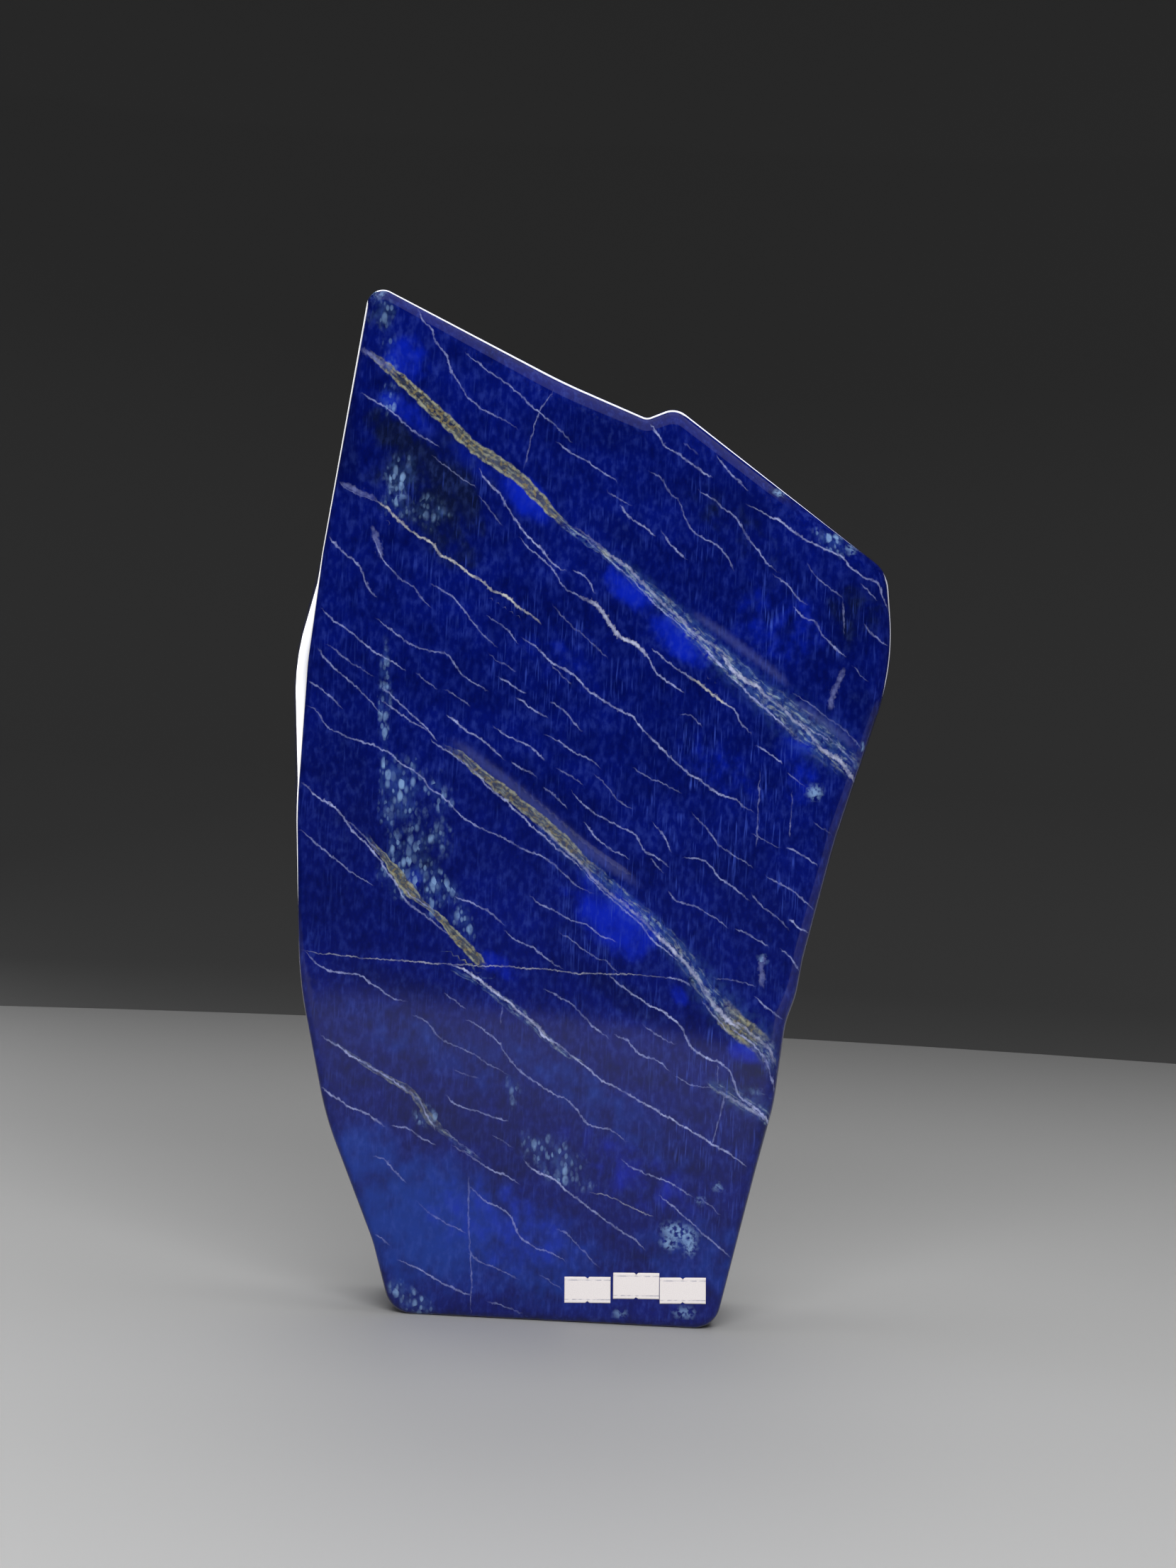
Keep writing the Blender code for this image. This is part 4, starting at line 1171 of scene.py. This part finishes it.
def lapis_ground(tree, mm, settings):
    """The blue itself: clouds, grain, fibres, dark patches, haze, specks and snow, with a painted sheen along the
    polished hollows.
    """
    clouds = add_node(tree, "ShaderNodeAttribute", out=1, attribute_name="clouds")
    royal, navy, fibrous = add_node(tree, "ShaderNodeSeparateXYZ", {0: clouds}, out=None)
    # Dark ground, grey blue haze, and a painted sheen, a grey reflection painted along the polished hollows
    tints_and_sheen = add_node(tree, "ShaderNodeAttribute", out=1, attribute_name="tints_and_sheen")
    dark, haze, painted_sheen = add_node(tree, "ShaderNodeSeparateXYZ", {0: tints_and_sheen}, out=None)
    patches = add_node(tree, "ShaderNodeAttribute", out=1, attribute_name="patches")
    mottled, snow, cobalt = add_node(tree, "ShaderNodeSeparateXYZ", {0: patches}, out=None)

    smoke = grain(tree, mm, 24, 0.30, 0.72, detail=3.0, stretch=(1.3, 1.2, 0.8))
    drift = grain(tree, mm, 7, 0.28, 0.72, detail=5.0, stretch=(1, 1, 1.3))
    fine = grain(tree, mm, 2.4, 0.28, 0.72, detail=4.0, stretch=(1, 1, 1.8))
    shade = weighed(tree, weighed(tree, smoke, drift, 0.45), fine, 0.35)
    ground = laid_over(tree, settings.navy[:], settings.deep[:], shade)
    ground = laid_over(tree, ground, settings.cobalt[:], blotched(tree, cobalt, drift), 0.75)
    ground = laid_over(tree, ground, settings.royal[:], blotched(tree, royal, drift), 0.75)
    ground = laid_over(tree, ground, settings.navy[:], blotched(tree, navy, drift), 0.75)
    ground = laid_over(tree, ground, settings.dark[:], blotched(tree, dark, drift, 1.2), 0.75)

    # A pale grain of a millimetre or two, which greys the blue a little
    glints = product(tree, spread(tree, fine, 0.35, 1.1), weighed(tree, drift, smoke, 0.5))
    ground = laid_over(tree, ground, settings.glint[:], glints, 0.20)

    # Upright fibres, drawn a little coarser than they are so that they show from a step away
    fibre = grain(tree, mm, 0.9, 0.56, 0.80, detail=1.0, stretch=(1, 1, 12))
    fibre_here = grain(tree, mm, 12, 0.40, 0.62, detail=2.0)
    fibre_more = add_node(tree, "ShaderNodeMath", {0: fibrous, 1: 0.75, 2: 0.25}, operation="MULTIPLY_ADD")
    ground = laid_over(tree, ground, settings.fibre[:], product(tree, fibre, fibre_here, fibre_more), 0.8)

    wisps = grain(tree, mm, 2.6, 0.34, 0.66, detail=3.0, stretch=(1, 1, 1.3))
    ground = laid_over(tree, ground, settings.haze[:], product(tree, haze, wisps), 0.26)
    # Painted sheen: a soft grey reflection laid into the colour along the polished hollows
    ground = laid_over(tree, ground, settings.painted_sheen[:], painted_sheen, 0.24)

    # Grains of two sizes, longer upright than across, over a greyer blue
    ragged = blotched(tree, mottled, drift, 1.2)
    ground = laid_over(tree, ground, settings.haze[:], product(tree, ragged, wisps), 0.30)
    coarse = cells(tree, mm, 3.8, (0.75, 1, 1.35), 0.35, 0.90)
    small = cells(tree, mm, 2.0, (0.8, 1, 1.4), 0.45, 0.95)
    ground = laid_over(tree, ground, settings.speck[:], product(tree, coarse, ragged), 0.80)
    ground = laid_over(tree, ground, settings.speck[:], product(tree, small, ragged), 0.55)
    flakes = grain(tree, mm, 2.0, 0.40, 0.56, detail=3.0)
    return laid_over(tree, ground, settings.speck[:], product(tree, flakes, snow), 0.85)


def with_bands(tree, mm, ground, settings):
    """The ground with the wide bands: bundles of pale strands, with olive, cream and crumbs where they hold gold."""
    course = add_node(tree, "ShaderNodeAttribute", out=1, attribute_name="band_course")
    distance, along, half = add_node(tree, "ShaderNodeSeparateXYZ", {0: course}, out=None)
    nature = add_node(tree, "ShaderNodeAttribute", out=1, attribute_name="band_nature")
    strength, gold, spare = add_node(tree, "ShaderNodeSeparateXYZ", {0: nature}, out=None)
    slow = grain(tree, mm, 5, 0.0, 1.0, detail=3.0)
    swerve = add_node(tree, "ShaderNodeMath", {0: slow, 1: 3.0, 2: -1.5}, operation="MULTIPLY_ADD")
    moved = add_node(tree, "ShaderNodeMath", {0: distance, 1: swerve}, operation="ADD")
    away = add_node(tree, "ShaderNodeMath", {0: moved}, operation="ABSOLUTE")
    share = add_node(tree, "ShaderNodeMath", {0: away, 1: half}, operation="DIVIDE")
    body = product(tree, spread(tree, share, 1.25, 0.55), strength)

    # Strands that run with the band, split up by the grain of the stone
    run = add_node(tree, "ShaderNodeCombineXYZ", {0: moved, 1: along})
    strands = grain(tree, run, 1.3, 0.48, 0.68, detail=2.5, stretch=(1, 7, 1))
    broken = grain(tree, mm, 2.2, 0.34, 0.62, detail=3.0)
    tint = grain(tree, run, 3.0, 0.40, 0.62, detail=2.0, stretch=(1, 5, 1))
    pale = laid_over(tree, settings.strand[:], settings.cream[:], tint, 0.8)
    not_gold = add_node(tree, "ShaderNodeMath", {0: 1.0, 1: gold}, operation="SUBTRACT", use_clamp=True)
    ground = laid_over(tree, ground, settings.haze[:], product(tree, body, broken), 0.35)
    ground = laid_over(tree, ground, pale, product(tree, body, strands, broken, not_gold), 1.0)

    # Gold stretches: a dark or olive heart, yellow crumbs, and thin cream edges
    holds_gold = spread(tree, gold, 0.25, 0.6)
    golden = product(tree, spread(tree, share, 1.15, 0.80), strength, holds_gold)
    mixed = grain(tree, run, 2.6, 0.36, 0.64, detail=4.0, stretch=(1, 2.5, 1))
    darkness = weighed(tree, spread(tree, gold, 0.45, 0.95), mixed, 0.55)
    heart = laid_over(tree, settings.olive[:], settings.dark[:], darkness)
    ground = laid_over(tree, ground, heart, golden, 0.85)
    crumbs = grain(tree, mm, 1.9, 0.50, 0.62, detail=3.0)
    ground = laid_over(tree, ground, settings.pyrite[:], product(tree, golden, crumbs), 0.65)
    ground = laid_over(tree, ground, settings.cream[:], product(tree, golden, strands, broken), 0.55)
    from_edge = add_node(tree, "ShaderNodeMath", {0: share, 1: 0.8}, operation="SUBTRACT")
    from_edge = add_node(tree, "ShaderNodeMath", {0: from_edge}, operation="ABSOLUTE")
    edge = product(tree, spread(tree, from_edge, 0.34, 0.08), strength, holds_gold)
    return laid_over(tree, ground, settings.cream[:], product(tree, edge, broken), 0.70)


def with_threads(tree, mm, ground, layers, settings):
    """The ground with the calcite threads over it, and the threads' mask."""
    slow = grain(tree, mm, 6, 0.0, 1.0, detail=2.0)
    quick = grain(tree, mm, 1.6, 0.0, 1.0, detail=2.0, stretch=(1, 1, 2.5))
    wander = add_node(tree, "ShaderNodeMath", {0: slow, 1: 1.8, 2: -0.9}, operation="MULTIPLY_ADD")
    jitter = add_node(tree, "ShaderNodeMath", {0: quick, 1: 1.5, 2: -0.75}, operation="MULTIPLY_ADD")
    wander = add_node(tree, "ShaderNodeMath", {0: wander, 1: jitter}, operation="ADD")
    rough_edge = grain(tree, mm, 1.5, 0.30, 0.70, detail=2.0)
    raggedness = add_node(tree, "ShaderNodeMath", {0: rough_edge, 1: 1.0, 2: 0.6}, operation="MULTIPLY_ADD")
    lines = strongest(tree, [line_mask(tree, name, wander, raggedness) for name in layers])
    torn = grain(tree, mm, 2.6, 0.34, 0.60, detail=3.0)
    waning = grain(tree, mm, 13, 0.34, 0.62, detail=2.0)
    breaks = product(tree, weighed(tree, torn, 1.0, 0.35), weighed(tree, waning, 1.0, 0.4))
    lines = product(tree, lines, breaks)
    warmth = add_node(tree, "ShaderNodeAttribute", out=2, attribute_name="thread_warmth")
    tint = laid_over(tree, settings.calcite[:], settings.warm_calcite[:], warmth)
    return laid_over(tree, ground, tint, lines), lines


def lapis_material(settings, threads):
    """Lapis lazuli, lapped on wet discs and polished with oxide paste.

    The eye gets a deep saturated blue under a thin clear gloss, with clouds and faint upright fibres in it,
    cool and yellow calcite threads that break off and start again, and olive strands full of pyrite.
    """
    made, tree = new_material("polished_lapis_lazuli")
    place = add_node(tree, "ShaderNodeTexCoord", out=3)
    mm = add_node(tree, "ShaderNodeVectorMath", {0: place, "Scale": 1 / MM}, operation="SCALE")
    ground = lapis_ground(tree, mm, settings)
    ground = with_bands(tree, mm, ground, settings)
    ground, lines = with_threads(tree, mm, ground, threads, settings)
    rough = add_node(
        tree, "ShaderNodeMapRange",
        {"Value": lines, "To Min": settings.polish, "To Max": settings.polish + 0.12},
    )
    shader = add_node(
        tree, "ShaderNodeBsdfPrincipled", {"Base Color": ground, "Roughness": rough, "IOR": 1.5}
    )
    add_node(tree, "ShaderNodeOutputMaterial", {"Surface": shader}, out=None)
    return made


def paper_material(settings):
    """Uncoated label paper, printed with two thin grey rules: matt, slightly warm, with a faint fibre."""
    made, tree = new_material("label_paper")
    place = add_node(tree, "ShaderNodeUVMap", uv_map="label_mm")
    fibre = grain(tree, place, 0.5, 0.3, 0.7, detail=3.0)
    across, up, depth = add_node(tree, "ShaderNodeSeparateXYZ", {0: place}, out=None)
    away = add_node(tree, "ShaderNodeMath", {0: up}, operation="ABSOLUTE")
    rule_height = settings.height / MM / 2 - 1.5
    from_rule = add_node(tree, "ShaderNodeMath", {0: away, 1: rule_height}, operation="SUBTRACT")
    from_rule = add_node(tree, "ShaderNodeMath", {0: from_rule}, operation="ABSOLUTE")
    rule = add_node(tree, "ShaderNodeMapRange", {"Value": from_rule, "From Min": 0.35, "From Max": 0.15})
    worn = grain(tree, place, 2.5, 0.35, 0.6, detail=2.0)
    rule = add_node(tree, "ShaderNodeMath", {0: rule, 1: worn}, operation="MULTIPLY")
    ground = laid_over(tree, settings.paper[:], linear("#dcd4d4"), fibre, 0.5)
    ground = laid_over(tree, ground, settings.rule[:], rule, 0.8)
    shader = add_node(tree, "ShaderNodeBsdfPrincipled", {"Base Color": ground, "Roughness": 0.75, "IOR": 1.45})
    add_node(tree, "ShaderNodeOutputMaterial", {"Surface": shader}, out=None)
    return made


def label_points_and_faces(label, settings):
    """A label's points in mm in the drawing, its faces, and each point's place on the paper."""
    half_width, half_height = settings.width / MM / 2, settings.height / MM / 2
    columns, rows = 40, 20
    across = np.linspace(-half_width, half_width, columns + 1)
    up = np.linspace(-half_height, half_height, rows + 1)
    flat = np.array([(u, w) for w in up for u in across])
    nick = np.clip(1 - np.abs(flat[:, 0]) / 0.8, 0, 1) * 0.9
    edge = np.abs(flat[:, 1]) >= half_height - 1e-6
    flat[edge, 1] -= np.sign(flat[edge, 1]) * nick[edge]
    lean = math.radians(label.lean)
    x = label.x + flat[:, 0] * math.cos(lean) + flat[:, 1] * math.sin(lean)
    z = label.z - flat[:, 0] * math.sin(lean) + flat[:, 1] * math.cos(lean)
    corner = (np.abs(flat[:, 0]) / half_width) ** 8 * (np.abs(flat[:, 1]) / half_height) ** 4
    lift = 0.05 + 0.2 * corner
    thick = settings.thickness / MM
    under = np.column_stack((x, front_relief(x, z) - lift, z))
    over = under - (0, thick, 0)
    count = len(flat)
    faces = []
    for row in range(rows):
        for column in range(columns):
            a = row * (columns + 1) + column
            b = a + columns + 1
            faces.append((a, a + 1, b + 1, b))
            faces.append((count + a, count + b, count + b + 1, count + a + 1))
    rim = [column for column in range(columns + 1)]
    rim += [row * (columns + 1) + columns for row in range(1, rows + 1)]
    rim += [rows * (columns + 1) + column for column in range(columns - 1, -1, -1)]
    rim += [row * (columns + 1) for row in range(rows - 1, 0, -1)]
    for a, b in zip(rim, rim[1:] + rim[:1]):
        faces.append((a, b, count + b, count + a))
    return np.concatenate((under, over)), faces, np.concatenate((flat, flat))


class LAPIS_OT_stone(Operator):
    """Draws the stone at a fine step, with its veins and its polish"""

    bl_idname = "lapis.stone"
    bl_label = "Stone"

    def execute(self, context):
        settings = context.scene.lapis_stone
        points, faces = slab_points_and_faces(settings)
        offset = drawing_to_frame()
        places = sheet_places(points, settings)
        depth = np.clip(points[:, 1] / (settings.base_thickness / MM), 0, 1)
        liveliness = 1 + depth * (0.75 * slow_wave(points, 110, 21) - 0.25)
        liveliness = np.clip(liveliness, 0, 1.25)
        threads, warmth = vein_fields(places, liveliness)
        course, nature = band_fields(places, liveliness)
        thread_names = [f"threads_{number}" for number in range(len(threads))]

        finish = lapis_material(settings, thread_names)
        moved = (points + np.array(offset)) * MM
        stone = new_piece("polished_stone", moved, faces, finish, "stone")
        for name, field in zip(thread_names, threads):
            set_attribute(stone.data, name, field)
        set_attribute(stone.data, "thread_warmth", warmth)
        set_attribute(stone.data, "band_course", course)
        set_attribute(stone.data, "band_nature", nature)
        clouds = [cloud_field(places, group) for group in (ROYAL_CLOUDS, NAVY_CLOUDS, FIBROUS)]
        set_attribute(stone.data, "clouds", np.column_stack(clouds))
        patches = [cloud_field(places, group) for group in (MOTTLED, SNOW, COBALT)]
        set_attribute(stone.data, "patches", np.column_stack(patches))
        # The last of these is where the painted sheen goes, a reflection painted along the polished hollows
        tints_and_sheen = [cloud_field(places, DARK_CLOUDS), soft_band_field(places, HAZES), soft_band_field(places, HOLLOWS)]
        set_attribute(stone.data, "tints_and_sheen", np.column_stack(tints_and_sheen))
        return {"FINISHED"}


class LAPIS_OT_labels(Operator):
    """Lays the three paper labels on the front face"""

    bl_idname = "lapis.labels"
    bl_label = "Labels"

    def execute(self, context):
        settings = context.scene.lapis_labels
        finish = paper_material(settings)
        offset = np.array(drawing_to_frame())
        for label in LABELS:
            points, faces, flat = label_points_and_faces(label, settings)
            piece = new_piece("paper_" + label.name, (points + offset) * MM, faces, finish, label.name)
            uv = piece.data.uv_layers.new(name="label_mm")
            corners = np.array([loop.vertex_index for loop in piece.data.loops])
            uv.data.foreach_set("uv", flat[corners].astype(np.float32).ravel())
        return {"FINISHED"}


def plain_finish(name, tint, roughness):
    """A matt painted surface for the studio."""
    made, tree = new_material(name)
    shader = add_node(tree, "ShaderNodeBsdfPrincipled", {"Base Color": tint, "Roughness": roughness})
    add_node(tree, "ShaderNodeOutputMaterial", {"Surface": shader}, out=None)
    return made


def turned_surface(name, profile, finish):
    """A stage surface turned round the upright axis from a profile of radius and height in metres."""
    sides = 96
    points, faces = [], []
    for radius, height in profile:
        for side in range(sides):
            angle = 2 * math.pi * side / sides
            points.append((radius * math.cos(angle), radius * math.sin(angle), height))
    for level in range(len(profile) - 1):
        for side in range(sides):
            after = (side + 1) % sides
            a, b = level * sides, (level + 1) * sides
            faces.append((a + side, a + after, b + after, b + side))
    if profile[0][0] < profile[-1][0] and profile[0][1] == profile[-1][1]:
        faces.append(tuple(range(sides)))
    mesh = bpy.data.meshes.new(name)
    mesh.from_pydata(points, [], faces)
    mesh.shade_smooth()
    mesh.materials.append(finish)
    made = bpy.data.objects.new(name, mesh)
    bpy.context.scene.collection.objects.link(made)
    return made


class Lamp(NamedTuple):
    """A soft box: where it hangs, what it points at, its width and height, all in metres, and its power."""

    name: str
    place: tuple
    aim: tuple
    width: float
    height: float
    watts: float
    lights: bool  # whether it lights what is matt
    mirrored: bool  # whether the polish shows it


LAMPS = (
    Lamp("front_soft_box", (0.1, -2.0, 1.3), (0, 0, 0.23), 1.6, 0.8, 56, True, False),
    Lamp("overhead_soft_box", (0.0, 0.1, 2.4), (0, 0, 0.3), 2.0, 1.4, 24, True, False),
    Lamp("back_card", (0.1, 1.6, 1.9), (0, 0, 0.4), 1.8, 1.0, 34, False, True),
    Lamp("ceiling_card", (0.0, -0.8, 2.7), (0, -0.8, 0.0), 3.4, 3.6, 20, False, True),
    Lamp("left_card", (-1.34, 1.49, 0.5), (0, 0, 0.25), 1.4, 0.9, 16, False, True),
    Lamp("right_card", (1.5, 1.6, 0.6), (0, 0, 0.25), 0.8, 0.9, 5, False, True),
)


class LAPIS_OT_studio(Operator):
    """Sets up a plain pale floor, a dim backdrop, soft boxes and the camera"""

    bl_idname = "lapis.studio"
    bl_label = "Studio"

    def execute(self, context):
        settings = context.scene.lapis_studio
        edge, wall, top = settings.floor_radius, settings.wall_radius, settings.wall_height
        turned_surface("floor", ((0.01, 0.0), (edge, 0.0)), plain_finish("floor_paint", settings.floor[:], 0.6))
        cove = ((edge, 0.0), (edge + 0.3, 0.03), (wall - 0.2, 0.25), (wall, 0.8), (wall, top))
        turned_surface("backdrop", cove, plain_finish("backdrop_paint", settings.wall[:], 0.9))

        for lamp in LAMPS:
            light = bpy.data.lights.new(lamp.name, "AREA")
            light.shape = "RECTANGLE"
            light.size = lamp.width
            light.size_y = lamp.height
            light.energy = lamp.watts
            made = bpy.data.objects.new(lamp.name, light)
            made.location = lamp.place
            direction = Vector(lamp.aim) - Vector(lamp.place)
            made.rotation_euler = direction.to_track_quat("-Z", "Y").to_euler()
            made.visible_camera = False
            made.visible_diffuse = lamp.lights
            made.visible_glossy = lamp.mirrored
            context.scene.collection.objects.link(made)

        world = bpy.data.worlds.new("studio_air")
        world.use_nodes = True
        world.node_tree.nodes["Background"].inputs["Color"].default_value = (0.02, 0.02, 0.02, 1)
        context.scene.world = world

        camera = bpy.data.objects.new("camera", bpy.data.cameras.new("camera"))
        camera.data.sensor_fit = "VERTICAL"
        camera.data.sensor_height = 36.0
        camera.data.lens = settings.lens
        offset = drawing_to_frame() * MM
        front = offset.y - settings.camera_distance
        turn = Matrix.Rotation(math.radians(90), 4, "X") @ Matrix.Rotation(settings.roll, 4, "Z")
        camera.matrix_world = Matrix.Translation((offset.x, front, settings.camera_height)) @ turn
        context.scene.collection.objects.link(camera)
        context.scene.camera = camera
        context.scene.view_settings.view_transform = "Standard"
        return {"FINISHED"}


class LAPIS_PT_freeform(Panel):
    """Lists the pieces and their settings"""

    bl_idname = "LAPIS_PT_freeform"
    bl_label = "Lapis freeform"
    bl_space_type = "VIEW_3D"
    bl_region_type = "UI"
    bl_category = "Lapis"

    def draw(self, context):
        for operator, group in PIECES:
            box = self.layout.box()
            box.operator(operator.bl_idname)
            settings = getattr(context.scene, group)
            for name in settings.__annotations__:
                box.prop(settings, name)


PIECES = (
    (LAPIS_OT_studio, "lapis_studio"),
    (LAPIS_OT_stone, "lapis_stone"),
    (LAPIS_OT_labels, "lapis_labels"),
)
GROUPS = (
    ("lapis_stone", StoneSettings),
    ("lapis_labels", LabelSettings),
    ("lapis_studio", StudioSettings),
)


def register():
    for name, group in GROUPS:
        bpy.utils.register_class(group)
        setattr(bpy.types.Scene, name, PointerProperty(type=group))
    for operator, group in PIECES:
        bpy.utils.register_class(operator)
    bpy.utils.register_class(LAPIS_PT_freeform)


def unregister():
    bpy.utils.unregister_class(LAPIS_PT_freeform)
    for operator, group in reversed(PIECES):
        bpy.utils.unregister_class(operator)
    for name, group in reversed(GROUPS):
        delattr(bpy.types.Scene, name)
        bpy.utils.unregister_class(group)


def main():
    register()
    bpy.ops.lapis.studio()
    bpy.ops.lapis.stone()
    bpy.ops.lapis.labels()


if __name__ == "__main__":
    main()
